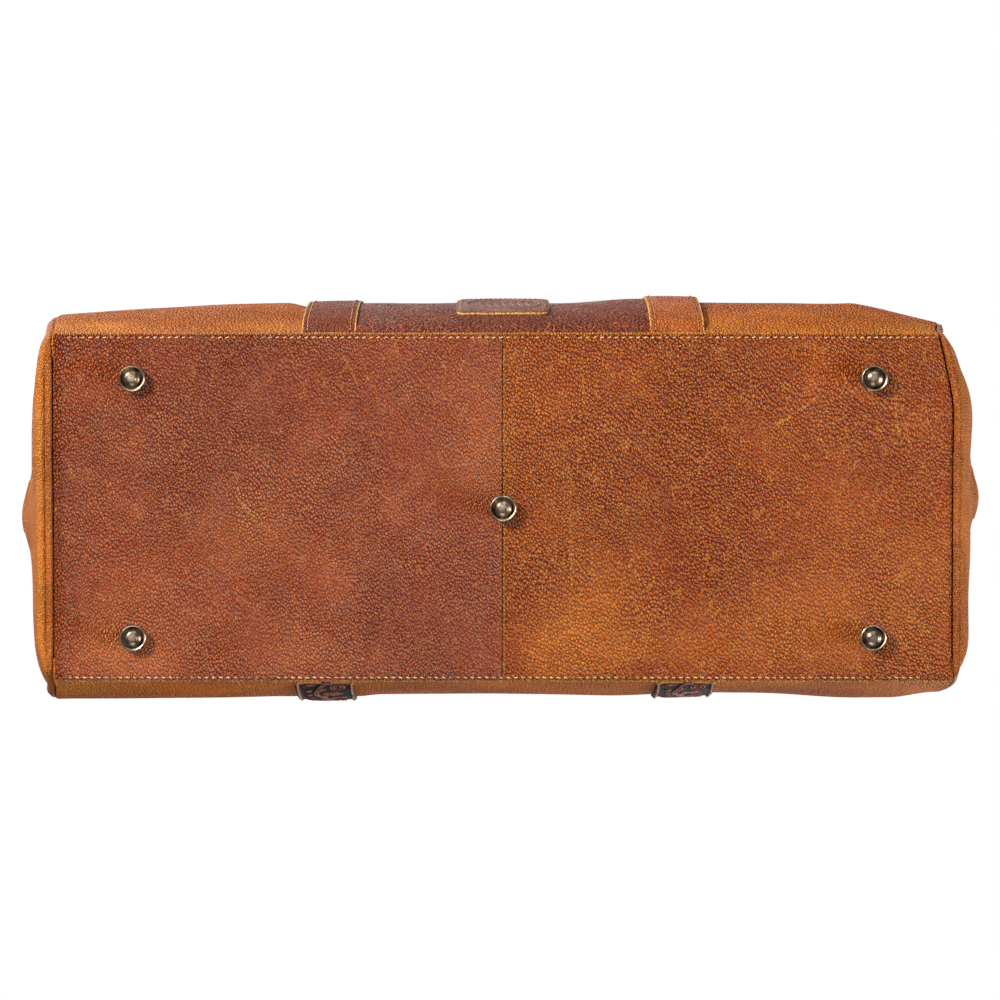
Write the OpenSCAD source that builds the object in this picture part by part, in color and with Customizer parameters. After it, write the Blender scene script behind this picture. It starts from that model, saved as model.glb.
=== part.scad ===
// Leather weekender bag: a front-bottom-back body between two piped end panels, standing on five feet,
// closed by a top zipper between two leather top panels, and carried by two rolled handles on rings.
// +X is to the bag's right, -Y is its front and +Z is up. The origin is on the floor, under its centre.

/* [Body] */
// Length of the body between its end seams
body_len = 494; // [440:1:540]
// Depth of the flat bottom between its front and back seams
body_depth = 192; // [176:1:210]
// Height of the zipped ridge above the floor
ridge_z = 285; // [270:1:300]
// How far the front and back bulge beyond the bottom's edges
side_bulge = 18; // [12:1:22]
// How far the end panels bulge beyond their seams
end_bulge = 26; // [18:1:30]
// Thickness of the body's leather
leather_t = 2; // [1.6:0.1:2.4]

/* [Feet] */
// Height of the feet
foot_h = 9; // [8:0.5:10]
// Diameter of a foot's rim
foot_d = 15; // [13:0.5:16]
// Distance between the left and right feet
feet_x = 411; // [380:1:420]
// Distance between the front and back feet
feet_y = 144; // [130:1:150]

/* [Straps and handles] */
// Width of the straps and of the handle tabs
strap_w = 30; // [26:1:32]
// Distance of a front strap's middle from the bag's middle
front_strap_x = 97; // [90:1:104]
// Distance of a back strap's middle from the bag's middle
back_strap_x = 104; // [90:1:110]
// Thickness of a strap, which is two layers of leather
strap_t = 3.2; // [2.8:0.1:3.6]
// Diameter of a rolled handle
handle_d = 15; // [13:0.5:16]
// Length of a handle's straight legs
handle_leg = 30; // [20:1:50]
// Radius of the wire of the rings
wire_r = 2; // [1.8:0.1:2]

/* [Zipper] */
// Length of the part of the top that opens
mouth_len = 410; // [360:1:412]
// Width of the slot between the two top panels
zip_gap = 16; // [14:1:20]
// Distance from one zipper tooth to the next
tooth_pitch = 3.4; // [3:0.1:4]

/* [Hidden] */
$fn = 48;

// Colours of the leathers, the fabrics and the metals
tan_leather = "peru";
base_leather = "sienna";
pocket_leather = "saddlebrown";
tooled_leather = "#4a2620";
raw_fabric = "tan";
board = "dimgray";
old_brass = "#6a5f50";

// Gap between two sewn layers, and the running clearance round a moving piece
gap = 0.2;
run = 0.3;

half_len = body_len / 2;
half_depth = body_depth / 2;

// The section's two curves, for y > 0: the side rises from the bottom seam to the shoulder, and the top
// goes on from there to the zipper, in the side's direction there. Each is a cubic Bezier in [y, z].
shoulder = [half_depth - 10, ridge_z - 37];
side_knee = [half_depth + side_bulge + 4, ridge_z - 85];
side_start = [half_depth + 1, foot_h + 5];
side_curve = [side_start, [half_depth + side_bulge + 10, foot_h + 86], side_knee, shoulder];
shoulder_dir = (shoulder - side_knee) / norm(shoulder - side_knee);
top_curve = [shoulder, shoulder + 24 * shoulder_dir, [half_depth / 2, ridge_z], [zip_gap / 2, ridge_z]];
side_steps = 20;
top_steps = 10;

function bezier(p, t) =
  pow(1 - t, 3) * p[0] + 3 * t * pow(1 - t, 2) * p[1] + 3 * t * t * (1 - t) * p[2] + pow(t, 3) * p[3];
function bezier_dir(p, t) =
  let (d = pow(1 - t, 2) * (p[1] - p[0]) + 2 * t * (1 - t) * (p[2] - p[1]) + t * t * (p[3] - p[2]))
  d / norm(d);
function outward(p, t) = let (d = bezier_dir(p, t)) [d[1], -d[0]];
function layer(p, t0, t1, off, steps) =
  [for (i = [0:steps]) let (t = t0 + (t1 - t0) * i / steps) bezier(p, t) + off * outward(p, t)];
function reversed(list) = [for (i = [len(list) - 1:-1:0]) list[i]];
function mirrored(list) = [for (p = list) [-p[0], p[1]]];

// A plate between two distances off a curve, and the whole section at one distance, anticlockwise from -Y
function plate(p, t0, t1, outer, inner, steps) =
  concat(layer(p, t0, t1, outer, steps), reversed(layer(p, t0, t1, inner, steps)));
corner_in = 4;
function half_section(off) = concat(
  [[half_depth - corner_in, foot_h - off]],
  layer(side_curve, 0, 1, off, side_steps),
  layer(top_curve, 1 / top_steps, 1, off, top_steps - 1)
);
function section(off) = concat(half_section(off), reversed(mirrored(half_section(off))));

module along_x(x0, x1) {
  translate([x0, 0, 0]) rotate([90, 0, 90]) linear_extrude(x1 - x0) children();
}

// What is drawn for the right, or for the back, mirrored to the left or to the front
module on_left() { mirror([1, 0, 0]) children(); }
module on_front() { mirror([0, 1, 0]) children(); }

// Stands its children at x on a curve of the back, with +Z outward, off the surface
module standing(p, t, x, off = 0) {
  at = bezier(p, t) + off * outward(p, t);
  dir = outward(p, t);
  translate([x, at[0], at[1]]) rotate([atan2(-dir[0], dir[1]), 0, 0]) children();
}

// ---- Bottom ----
hem_z = foot_h + leather_t + gap;
hem_w = 10;
board_t = 2.5;
foot_hole_r = 1.8;
feet = [for (x = [-1, 1], y = [-1, 1]) [x * feet_x / 2, y * feet_y / 2], [0, 0]];

module foot_holes() {
  for (p = feet) translate([p[0], p[1], 0]) cylinder(r = foot_hole_r, h = 40);
}

module bottom_panel() {
  color(base_leather) difference() {
    translate([gap / 2, -half_depth, foot_h]) cube([half_len - gap / 2, body_depth, leather_t]);
    foot_holes();
  }
}

module base_board() {
  color(board) difference() {
    translate([-half_len + 4, -half_depth + hem_w + 3, hem_z])
      cube([body_len - 8, body_depth - 2 * hem_w - 6, board_t]);
    foot_holes();
  }
}

washer_t = 0.7;
washer_z = hem_z + board_t;
prong_z = washer_z + washer_t;
prong_t = 0.7;

// A domed cap with a raised rim on a narrower neck, with a post and two prongs bent over inside
module foot(p) {
  rim = foot_d / 2;
  color(old_brass) translate([p[0], p[1], 0]) {
    rotate_extrude() polygon([
      [0, 0], [2.4, 0], [3.6, 0.5], [4.5, 1.4], [5, 2.6], [5.1, 3.4], [5.6, 3.7], [6.1, 3.1],
      [rim - 0.7, 2.9], [rim - 0.1, 3.4], [rim, 4.1], [rim - 0.4, 5], [rim - 1.9, 5.6],
      [rim - 2.3, foot_h], [0, foot_h]
    ]);
    cylinder(r = foot_hole_r - 0.3, h = prong_z + prong_t);
    translate([-5, -1.2, prong_z]) cube([10, 2.4, prong_t]);
  }
}

module foot_washers() {
  color(old_brass) for (p = feet) translate([p[0], p[1], washer_z]) difference() {
    cylinder(r = 6, h = washer_t);
    translate([0, 0, -1]) cylinder(r = foot_hole_r, h = washer_t + 2);
  }
}

// ---- Front and back ----
// Places up the side curve, from 0 at the bottom seam to 1 at the shoulder
pocket_t = 1.6;
pocket_top = 0.67;
patch_mid = 0.21;
rivet_at = [0.73, 0.78];
rivet_hole_r = 1.6;
loop_at = 0.85;

module rivet_holes(strap_x) {
  for (x = [-strap_x, strap_x], t = rivet_at)
    standing(side_curve, t, x, -10) cylinder(r = rivet_hole_r, h = 20);
}

// The body's wall, whose hem turns in over the bottom's edge
module wall(strap_x) {
  hem_y = half_depth - hem_w - 2;
  color(tan_leather) difference() {
    along_x(-half_len, half_len) polygon(concat(
      [[hem_y, hem_z + leather_t], [hem_y, hem_z], [half_depth - 3, hem_z]],
      layer(side_curve, 0, 1, 0, side_steps),
      reversed(layer(side_curve, 0, 1, -leather_t, side_steps)),
      [[half_depth - 4, hem_z + leather_t]]
    ));
    rivet_holes(strap_x);
  }
}

module front_pocket() {
  x = front_strap_x - strap_w / 2 - run;
  color(pocket_leather) along_x(-x, x)
    polygon(plate(side_curve, 0.02, pocket_top, gap + pocket_t, gap, side_steps));
}

// A blank leather label with round corners, 52 mm by 32 mm
module pocket_patch() {
  color(pocket_leather) standing(side_curve, patch_mid, 0, gap + pocket_t + 0.4)
    linear_extrude(2) offset(r = 4) square([44, 24], center = true);
}

// ---- Straps, with a loop at the top for the ring's lower bar ----
loop_in = wire_r + run;
loop_out = loop_in + strap_t / 2;
loop_mid = bezier(side_curve, loop_at) + (gap + loop_out) * outward(side_curve, loop_at);

module strap(x, colour) {
  color(colour) difference() {
    along_x(x - strap_w / 2, x + strap_w / 2) difference() {
      union() {
        polygon(plate(side_curve, 0.02, loop_at, gap + strap_t, gap, side_steps));
        translate(loop_mid) circle(r = loop_out);
      }
      translate(loop_mid) circle(r = loop_in);
    }
    rivet_holes(x);
  }
}

// A domed head outside, a post through strap and wall, and a flat burr inside
module rivet() {
  head_r = 4.5;
  outside = gap + strap_t;
  translate([0, 0, outside]) rotate_extrude()
    polygon([[0, 0], [head_r, 0], [head_r - 0.5, 1], [2.4, 1.8], [0, 2]]);
  translate([0, 0, -leather_t - 1]) cylinder(r = rivet_hole_r - gap, h = outside + leather_t + 2);
  translate([0, 0, -leather_t - 1.1]) cylinder(r = 4, h = 0.9);
}

module strap_rivets() {
  color(old_brass) for (t = rivet_at, side = [-1, 1]) {
    standing(side_curve, t, side * back_strap_x) rivet();
    on_front() standing(side_curve, t, side * front_strap_x) rivet();
  }
}

// ---- Ends ----
piping_r = 2.9;
piping_x = half_len + piping_r + run;
piping_sides = 10;

// A round cord that follows the section, set in so that it is flush with the walls
module piping() {
  ring = section(-piping_r);
  n = len(ring);
  points = [for (i = [0:n - 1], k = [0:piping_sides - 1])
    let (along = ring[(i + 1) % n] - ring[(i + n - 1) % n], out = [along[1], -along[0]] / norm(along))
    let (a = 360 * k / piping_sides, at = ring[i] + piping_r * cos(a) * out)
    [piping_x + piping_r * sin(a), at[0], at[1]]];
  faces = [for (i = [0:n - 1], k = [0:piping_sides - 1])
    let (j = (i + 1) % n, l = (k + 1) % piping_sides)
    [i * piping_sides + k, i * piping_sides + l, j * piping_sides + l, j * piping_sides + k]];
  color(tan_leather) polyhedron(points, faces, convexity = 6);
}

// The end panel is a shallow dome over the section: end_x(rho) is its outer face, from rho = 1 at the seam
// to 0 at its fullest point, which is low because the leather sags
end_inset = 2 * piping_r + 0.4;
end_seam_x = piping_x + 1;
end_mid_z = 125;
end_power = 2.2;
end_rings = 6;
end_low_z = foot_h + end_inset;
end_high_z = ridge_z - end_inset;
function end_x(rho) = end_seam_x + end_bulge * (1 - pow(rho, end_power));
function end_rho(z) =
  z < end_mid_z ? (end_mid_z - z) / (end_mid_z - end_low_z) : (z - end_mid_z) / (end_high_z - end_mid_z);

module end_panel() {
  rim = section(-end_inset);
  n = len(rim);
  shell = n * end_rings + 1;
  points = [for (face = [0, -leather_t]) each concat(
    [for (k = [0:end_rings - 1], p = rim) let (rho = 1 - k / end_rings)
      [end_x(rho) + face, p[0] * rho, end_mid_z + (p[1] - end_mid_z) * rho]],
    [[end_x(0) + face, 0, end_mid_z]]
  )];
  outer = concat(
    [for (k = [0:end_rings - 2], i = [0:n - 1]) let (j = (i + 1) % n)
      each [[k * n + i, (k + 1) * n + i, (k + 1) * n + j], [k * n + i, (k + 1) * n + j, k * n + j]]],
    [for (i = [0:n - 1]) [(end_rings - 1) * n + i, shell - 1, (end_rings - 1) * n + (i + 1) % n]]
  );
  inner = [for (f = outer) [f[2] + shell, f[1] + shell, f[0] + shell]];
  edge = [for (i = [0:n - 1]) let (j = (i + 1) % n) each [[i, j, j + shell], [i, j + shell, i + shell]]];
  color(tan_leather) polyhedron(points, concat(outer, inner, edge), convexity = 6);
}

// A strap down the middle of the end, from over the zipper's end to below the fullest point. Its line is a
// list of [x, z] points at one distance off the leather, and it turns down round the piping.
end_strap_t = 2.5;
end_strap_w = 30;
end_strap_x = half_len - 24;
end_strap_low_z = 98;
end_strap_turn_z = end_high_z - 12;
end_strap_step = (end_strap_turn_z - end_strap_low_z) / 14;
function end_strap_line(off) = concat(
  [[end_strap_x, ridge_z + off]],
  [for (a = [90:-15:0]) let (r = piping_r + off)
    [piping_x + r * cos(a), ridge_z - piping_r + r * sin(a)]],
  [for (z = [end_strap_turn_z:-end_strap_step:end_strap_low_z - 0.01]) [end_x(end_rho(z)) + off + gap, z]]
);

module end_strap() {
  color(tan_leather) rotate([90, 0, 0]) linear_extrude(end_strap_w, center = true)
    polygon(concat(end_strap_line(end_strap_t + gap), reversed(end_strap_line(gap))));
}

// A folded leather loop, stitched to the end strap above the D-ring's straight bar, holds that bar
d_bar_z = 226;
d_loop_w = 22;
d_loop_rise = 18;
d_loop_out = loop_in + 1.6;
d_bar_x = end_x(end_rho(d_bar_z)) + 3 * gap + end_strap_t + d_loop_out;
function on_end_strap(z, off) = [end_x(end_rho(z)) + 3 * gap + end_strap_t + off, z];

module d_ring_loop() {
  color(tan_leather) rotate([90, 0, 0]) linear_extrude(d_loop_w, center = true) difference() {
    union() {
      translate([d_bar_x, d_bar_z]) circle(r = d_loop_out);
      polygon([
        on_end_strap(d_bar_z, 0), on_end_strap(d_bar_z + 2, d_loop_out + 3), on_end_strap(d_bar_z + 8, 3.2),
        on_end_strap(d_bar_z + d_loop_rise, 3.2), on_end_strap(d_bar_z + d_loop_rise, 0)
      ]);
    }
    translate([d_bar_x, d_bar_z]) circle(r = loop_in);
  }
}

// Half-round ring that hangs from its straight bar and leans out on the leather
d_ring_r = 14.5;
d_lean = 20;
module d_ring() {
  color(old_brass) translate([d_bar_x, 0, d_bar_z]) rotate([0, -d_lean, 0]) {
    rotate([90, 0, 0]) cylinder(r = wire_r, h = 2 * d_ring_r + 2.4 * wire_r, center = true);
    rotate([0, 90, 0]) rotate([0, 0, -90]) rotate_extrude(angle = 180, $fn = 64)
      translate([d_ring_r, 0]) circle(r = wire_r - 0.1);
  }
}

// ---- Top ----
mouth = mouth_len / 2;
tape_z = ridge_z - leather_t - 0.5;
tape_t = 0.6;
tape_y = 17;
chain_h = 3.6;
chain_z = tape_z - tape_t / 2 - chain_h / 2;
chain_in = 0.6;
chain_out = 3.5;
tooth_w = 1.7;

module top_panel() {
  color(tan_leather) along_x(-mouth, mouth)
    polygon(plate(top_curve, 0.012, 1, 0, -leather_t, 2 * top_steps));
}

// The part of the top that stays sewn to the end, on both sides of the zipper
module top_end() {
  color(tan_leather) for (side = [0, 1]) mirror([0, side, 0]) along_x(mouth + run, half_len)
    polygon(plate(top_curve, 0.012, 1, 0, -leather_t, 2 * top_steps));
}

module zip_tape() {
  color(raw_fabric) translate([-mouth, chain_in, tape_z - tape_t]) difference() {
    cube([mouth_len, tape_y - chain_in, tape_t]);
    translate([-1, -1, -1]) cube([mouth_len + 2, chain_out - chain_in + 1, tape_t + 2]);
  }
}

// A row of teeth on the tape's edge, as one comb
module zip_teeth(shift) {
  count = floor((mouth_len - 4) / tooth_pitch);
  spine = 1.2;
  start = -count * tooth_pitch / 2 + shift;
  color(old_brass) translate([0, 0, chain_z]) linear_extrude(chain_h) polygon(concat(
    [[start, chain_out], [start, chain_out - spine]],
    [for (i = [0:count - 1]) let (x = start + 0.2 + i * tooth_pitch, y = chain_out - spine) each
      [[x, y], [x, chain_in], [x + tooth_w, chain_in], [x + tooth_w, y]]],
    [[start + count * tooth_pitch, chain_out - spine], [start + count * tooth_pitch, chain_out]]
  ));
}

// Both tapes beyond the mouth, joined past the slider by a metal stop
module zip_end() {
  slit_end = half_len - 25;
  color(raw_fabric) translate([0, 0, tape_z - tape_t]) linear_extrude(tape_t) difference() {
    translate([mouth + run, -tape_y]) square([half_len - 3 - mouth - run, 2 * tape_y]);
    translate([mouth, -chain_in]) square([slit_end - mouth, 2 * chain_in]);
  }
  color(old_brass) translate([slit_end + 1, -3, tape_z]) cube([2.5, 6, 1.2]);
}

// ---- Slider and pull ----
slider_len = 12;
slider_w = 10.4;
slider_x = mouth + run + slider_len / 2 + 1;
slider_wall = 1.6;
chain_mid_z = tape_z - tape_t / 2;
channel = chain_h / 2 + 0.45;
pull_z = ridge_z + 6;
pin_r = 0.9;
pull_w = 4.4;

module rounded_bar(l, w, h) {
  linear_extrude(h) hull() for (s = [-1, 1]) translate([s * (l - w) / 2, 0]) circle(d = w);
}

// Two plates round the chain, joined by a thin web between the rows, with lips that turn in over the tape
module zip_slider() {
  color(old_brass) translate([slider_x, 0, 0]) {
    for (side = [-1, 1]) translate([0, 0, chain_mid_z]) mirror([0, 0, side > 0 ? 0 : 1]) {
      translate([-slider_len / 2, -slider_w / 2, channel]) cube([slider_len, slider_w, slider_wall]);
      for (y = [-1, 1]) translate([-slider_len / 2, y > 0 ? slider_w / 2 - 1 : -slider_w / 2, 0.9])
        cube([slider_len, 1, channel - 0.9 + 0.5]);
    }
    translate([-2, -0.4, chain_mid_z - channel - 0.5]) cube([4, 0.8, 2 * channel + 1]);
    for (y = [-1, 1]) translate([0, y * (pull_w / 2 + 0.9), 0]) {
      translate([-2.2, -0.6, chain_mid_z + channel + 1])
        cube([4.4, 1.2, pull_z - chain_mid_z - channel - 1]);
      translate([0, 0, pull_z]) rotate([90, 0, 0]) cylinder(r = 2.2, h = 1.2, center = true);
    }
    translate([0, 0, pull_z]) rotate([90, 0, 0]) cylinder(r = pin_r, h = pull_w + 1.8, center = true);
  }
}

// A barrel on the slider's pin, and a flat shank that widens past the slider's lugs
pull_len = 22;
pull_neck = 5;
shank_w = 6;
shank_t = 1.8;

module zip_pull() {
  color(old_brass) translate([slider_x, 0, pull_z]) difference() {
    union() {
      rotate([90, 0, 0]) cylinder(r = 1.9, h = pull_w, center = true);
      translate([0, -pull_w / 2, -shank_t / 2]) cube([pull_neck, pull_w, shank_t]);
      translate([pull_neck, -shank_w / 2, -shank_t / 2]) cube([pull_len - pull_neck, shank_w, shank_t]);
    }
    rotate([90, 0, 0]) cylinder(r = pin_r + 0.2, h = pull_w + 2, center = true);
  }
}

// A folded leather tab that is stitched shut round the shank's end
tab_len = 52;
tab_w = 12;
tab_t = 4;
tab_start = 12;
module zip_pull_tab() {
  color(tan_leather) translate([slider_x, 0, pull_z]) difference() {
    translate([tab_start + tab_len / 2, 0, -tab_t / 2]) rounded_bar(tab_len, tab_w, tab_t);
    translate([0, -shank_w / 2, -shank_t / 2]) cube([pull_len, shank_w, shank_t]);
  }
}

// ---- Lining ----
lining_in = leather_t + 1.6;
lining_t = 0.8;
lining_z = prong_z + prong_t + 0.5;
lining_top = 0.985;

function lining_half(off, z) =
  concat([[half_depth - 6, z]], layer(side_curve, 0.03, lining_top, -off, side_steps));

module lining_body() {
  color(raw_fabric) along_x(-half_len + 2, half_len - 2) polygon(concat(
    lining_half(lining_in, lining_z),
    reversed(lining_half(lining_in + lining_t, lining_z + lining_t)),
    mirrored(lining_half(lining_in + lining_t, lining_z + lining_t)),
    reversed(mirrored(lining_half(lining_in, lining_z)))
  ));
}

module lining_end() {
  room = lining_in + lining_t + gap;
  color(raw_fabric) along_x(half_len - 2 - lining_t, half_len - 2) polygon(concat(
    [[half_depth - 7, lining_z + lining_t + gap]],
    layer(side_curve, 0.04, lining_top, -room, side_steps),
    reversed(mirrored(layer(side_curve, 0.04, lining_top, -room, side_steps))),
    [[-half_depth + 7, lining_z + lining_t + gap]]
  ));
}

module inner_pocket() {
  inside = lining_in + lining_t + gap;
  color(raw_fabric) along_x(-90, 90)
    polygon(plate(side_curve, 0.3, 0.72, -inside, -inside - lining_t, side_steps));
}

// ---- Rings and handles ----
ring_rise = 20;
ring_leg_x = strap_w / 2 + 2.5;
bar_z = loop_mid[1] + ring_rise;
tab_rise = 26;

// Two round bars joined by two legs, on the strap's loop and standing up from it
module ring(x) {
  color(old_brass) translate([x, loop_mid[0], loop_mid[1]]) {
    for (z = [0, ring_rise]) translate([0, 0, z]) rotate([0, 90, 0])
      cylinder(r = wire_r, h = 2 * ring_leg_x + 2 * wire_r, center = true);
    for (s = [-1, 1]) translate([s * ring_leg_x, 0, 0]) cylinder(r = wire_r - 0.1, h = ring_rise);
  }
}

// A tab folded round the ring's upper bar, narrowing to the handle
module handle_tab(x, colour) {
  top_w = handle_d - 1;
  color(colour) intersection() {
    along_x(x - strap_w / 2, x + strap_w / 2) translate([loop_mid[0], bar_z]) difference() {
      union() {
        circle(r = loop_out);
        translate([-strap_t / 2, 0]) square([strap_t, tab_rise]);
      }
      circle(r = loop_in);
    }
    translate([x, loop_mid[0], bar_z]) rotate([90, 0, 0]) linear_extrude(20, center = true) polygon([
      [-strap_w / 2, -loop_out - 1], [strap_w / 2, -loop_out - 1], [strap_w / 2, 8],
      [top_w / 2, tab_rise], [-top_w / 2, tab_rise], [-strap_w / 2, 8]
    ]);
  }
}

// Two legs and a half circle, drawn as a tube between two radii
module handle_tube(x, r_out, r_in) {
  translate([0, loop_mid[0], bar_z + tab_rise]) {
    for (s = [-1, 1]) translate([s * x, 0, 0]) difference() {
      cylinder(r = r_out, h = handle_leg);
      if (r_in > 0) translate([0, 0, -1]) cylinder(r = r_in, h = handle_leg + 2);
    }
    translate([0, 0, handle_leg]) rotate([90, 0, 0]) rotate_extrude(angle = 180, $fn = 96)
      translate([x, 0]) difference() {
        circle(r = r_out);
        if (r_in > 0) circle(r = r_in);
      }
  }
}

core_r = handle_d / 2 - 2.3;
module handle(x) { color(tan_leather) handle_tube(x, handle_d / 2, core_r + 0.1); }
module handle_core(x) { color(raw_fabric) handle_tube(x, core_r, 0); }

on_left() bottom_panel();  // bottom_panel_left
bottom_panel();  // bottom_panel_right
base_board();
foot(feet[0]);  // foot_front_left
foot(feet[2]);  // foot_front_right
foot(feet[1]);  // foot_back_left
foot(feet[3]);  // foot_back_right
foot(feet[4]);  // foot_centre
foot_washers();
on_front() wall(front_strap_x);  // front_panel
wall(back_strap_x);  // back_panel
on_front() front_pocket();
on_front() pocket_patch();
on_left() end_panel();  // end_panel_left
end_panel();  // end_panel_right
on_left() piping();  // piping_left
piping();  // piping_right
on_front() strap(-front_strap_x, tan_leather);  // strap_front_left
on_front() strap(front_strap_x, tan_leather);  // strap_front_right
strap(-back_strap_x, tooled_leather);  // strap_back_left
strap(back_strap_x, tooled_leather);  // strap_back_right
strap_rivets();
on_left() end_strap();  // end_strap_left
end_strap();  // end_strap_right
on_left() d_ring_loop();  // d_ring_loop_left
d_ring_loop();  // d_ring_loop_right
on_left() top_end();  // top_end_left
top_end();  // top_end_right
on_left() zip_end();  // zip_end_left
zip_end();  // zip_end_right
lining_body();
on_left() lining_end();  // lining_end_left
lining_end();  // lining_end_right
inner_pocket();
on_front() top_panel();  // top_panel_front
on_front() zip_tape();  // zip_tape_front
on_front() zip_teeth(0);  // zip_teeth_front
top_panel();  // top_panel_back
zip_tape();  // zip_tape_back
zip_teeth(tooth_pitch / 2);  // zip_teeth_back
zip_slider();
zip_pull();
zip_pull_tab();
on_front() ring(-front_strap_x);  // ring_front_left
on_front() ring(front_strap_x);  // ring_front_right
ring(-back_strap_x);  // ring_back_left
ring(back_strap_x);  // ring_back_right
on_front() handle(front_strap_x);  // handle_front
on_front() handle_core(front_strap_x);  // handle_core_front
on_front() handle_tab(-front_strap_x, tan_leather);  // handle_tab_front_left
on_front() handle_tab(front_strap_x, tan_leather);  // handle_tab_front_right
handle(back_strap_x);  // handle_back
handle_core(back_strap_x);  // handle_core_back
handle_tab(-back_strap_x, tooled_leather);  // handle_tab_back_left
handle_tab(back_strap_x, tooled_leather);  // handle_tab_back_right
on_left() d_ring();  // d_ring_left
d_ring();  // d_ring_right
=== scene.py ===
"""The looks of the leather weekender bag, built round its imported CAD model.

Shapes are worked out in millimetres in the CAD's frame (+X right, -Y front, +Z up) and made in metres.
"""

import bmesh
import bpy
import math
import random
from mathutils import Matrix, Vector, noise


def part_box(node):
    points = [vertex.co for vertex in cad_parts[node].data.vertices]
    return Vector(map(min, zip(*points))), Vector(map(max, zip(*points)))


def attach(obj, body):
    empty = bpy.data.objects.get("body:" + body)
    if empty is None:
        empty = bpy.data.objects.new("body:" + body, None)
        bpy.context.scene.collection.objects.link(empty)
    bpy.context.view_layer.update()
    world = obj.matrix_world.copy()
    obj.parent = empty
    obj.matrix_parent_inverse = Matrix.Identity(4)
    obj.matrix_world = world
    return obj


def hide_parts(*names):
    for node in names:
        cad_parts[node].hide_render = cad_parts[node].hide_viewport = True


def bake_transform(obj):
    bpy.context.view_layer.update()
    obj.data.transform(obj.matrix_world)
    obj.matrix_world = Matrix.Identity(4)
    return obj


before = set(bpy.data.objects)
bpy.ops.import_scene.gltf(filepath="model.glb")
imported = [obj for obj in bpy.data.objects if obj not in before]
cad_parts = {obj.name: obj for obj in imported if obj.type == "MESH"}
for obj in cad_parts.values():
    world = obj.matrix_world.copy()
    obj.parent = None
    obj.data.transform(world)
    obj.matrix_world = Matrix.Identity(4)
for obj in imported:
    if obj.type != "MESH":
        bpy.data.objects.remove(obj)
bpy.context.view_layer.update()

MM = 0.001

# ---- The bag's driving dimensions, as in the CAD, in millimetres ----
HALF_LEN = 247.0
HALF_DEPTH = 96.0
RIDGE_Z = 285.0
FOOT_H = 9.0
SIDE_BULGE = 18.0
LEATHER_T = 2.0
GAP = 0.2
ZIP_HALF_GAP = 8.0
MOUTH = 205.0
FRONT_STRAP_X = 97.0
BACK_STRAP_X = 104.0
STRAP_W = 30.0
STRAP_T = 3.2
WIRE_R = 2.0
PIPING_R = 2.9
PIPING_X = 250.2
HANDLE_R = 7.5
FEET = [(sx * 205.5, sy * 72.0) for sx in (-1, 1) for sy in (-1, 1)] + [(0.0, 0.0)]

FRONT, BACK = -1, 1
LEFT, RIGHT = -1, 1
PITCH = 4.0  # of the hand-sized stitches
SEAM_Y = HALF_DEPTH + 1  # where the walls meet the bottom
SIDE_RUN = 236.0  # about the way up the side, from the bottom seam to the shoulder
SMOOTH_ANGLE = 38  # degrees between two faces that still look like one surface


# =====================================================================================
# Mesh helpers
# =====================================================================================

def mesh_object(name, verts, faces, material, smooth_angle=SMOOTH_ANGLE, attributes=None):
    """An object from points in millimetres, smooth shaded up to an angle."""
    mesh = bpy.data.meshes.new(name)
    mesh.from_pydata([(v[0] * MM, v[1] * MM, v[2] * MM) for v in verts], [], faces)
    mesh.validate()
    mesh.update()
    for key, values in (attributes or {}).items():
        layer = mesh.attributes.new(key, "FLOAT", "POINT")
        layer.data.foreach_set("value", values)
    rest = mesh.attributes.new("rest", "FLOAT_VECTOR", "POINT")
    rest.data.foreach_set("vector", [c for v in mesh.vertices for c in v.co])
    mesh.polygons.foreach_set("use_smooth", [True] * len(mesh.polygons))
    mesh.set_sharp_from_angle(angle=math.radians(smooth_angle))
    mesh.materials.append(material)
    obj = bpy.data.objects.new(name, mesh)
    bpy.context.scene.collection.objects.link(obj)
    return obj


def place(obj, body, slot, *nodes):
    """Rides the piece on its body and hides the CAD nodes that it stands for."""
    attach(obj, body)
    if nodes:
        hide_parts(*nodes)
    return obj


def bevel(obj, width, segments=2, angle=50):
    """Rounds the sharp edges of a cut piece of leather or metal."""
    mod = obj.modifiers.new("rounded", "BEVEL")
    mod.width = width * MM
    mod.segments = segments
    mod.limit_method = "ANGLE"
    mod.angle_limit = math.radians(angle)
    return obj


def hide_grid(rows, thick, wrap=False):
    """Closed leather from rows of (point, normal) of its good side. The flesh side lies thick below.

    Returns points, faces and the point attributes: raw is 1 on the flesh side, and edge is the distance to
    the nearest cut edge, in mm, measured along the rows and across them.
    """
    n, m = len(rows), len(rows[0])
    outer = [p for row in rows for p, _ in row]
    inner = [p - thick * d for row in rows for p, d in row]
    faces = []
    cols = m if wrap else m - 1
    for i in range(n - 1):
        for j in range(cols):
            k = (j + 1) % m
            a, b, c, d = i * m + j, i * m + k, (i + 1) * m + k, (i + 1) * m + j
            faces.append((a, b, c, d))
            faces.append((a + n * m, d + n * m, c + n * m, b + n * m))
    for j in range(cols):
        k = (j + 1) % m
        faces.append((j, j + n * m, k + n * m, k))
        a, b = (n - 1) * m + j, (n - 1) * m + k
        faces.append((a, b, b + n * m, a + n * m))
    if not wrap:
        for i in range(n - 1):
            a, b = i * m, (i + 1) * m
            faces.append((a, b, b + n * m, a + n * m))
            a, b = i * m + m - 1, (i + 1) * m + m - 1
            faces.append((a, a + n * m, b + n * m, b))
    edge = edge_distance(rows, wrap)
    raw = [0.0] * (n * m) + [1.0] * (n * m)
    return outer + inner, faces, {"raw": raw, "edge": edge + edge}


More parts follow.
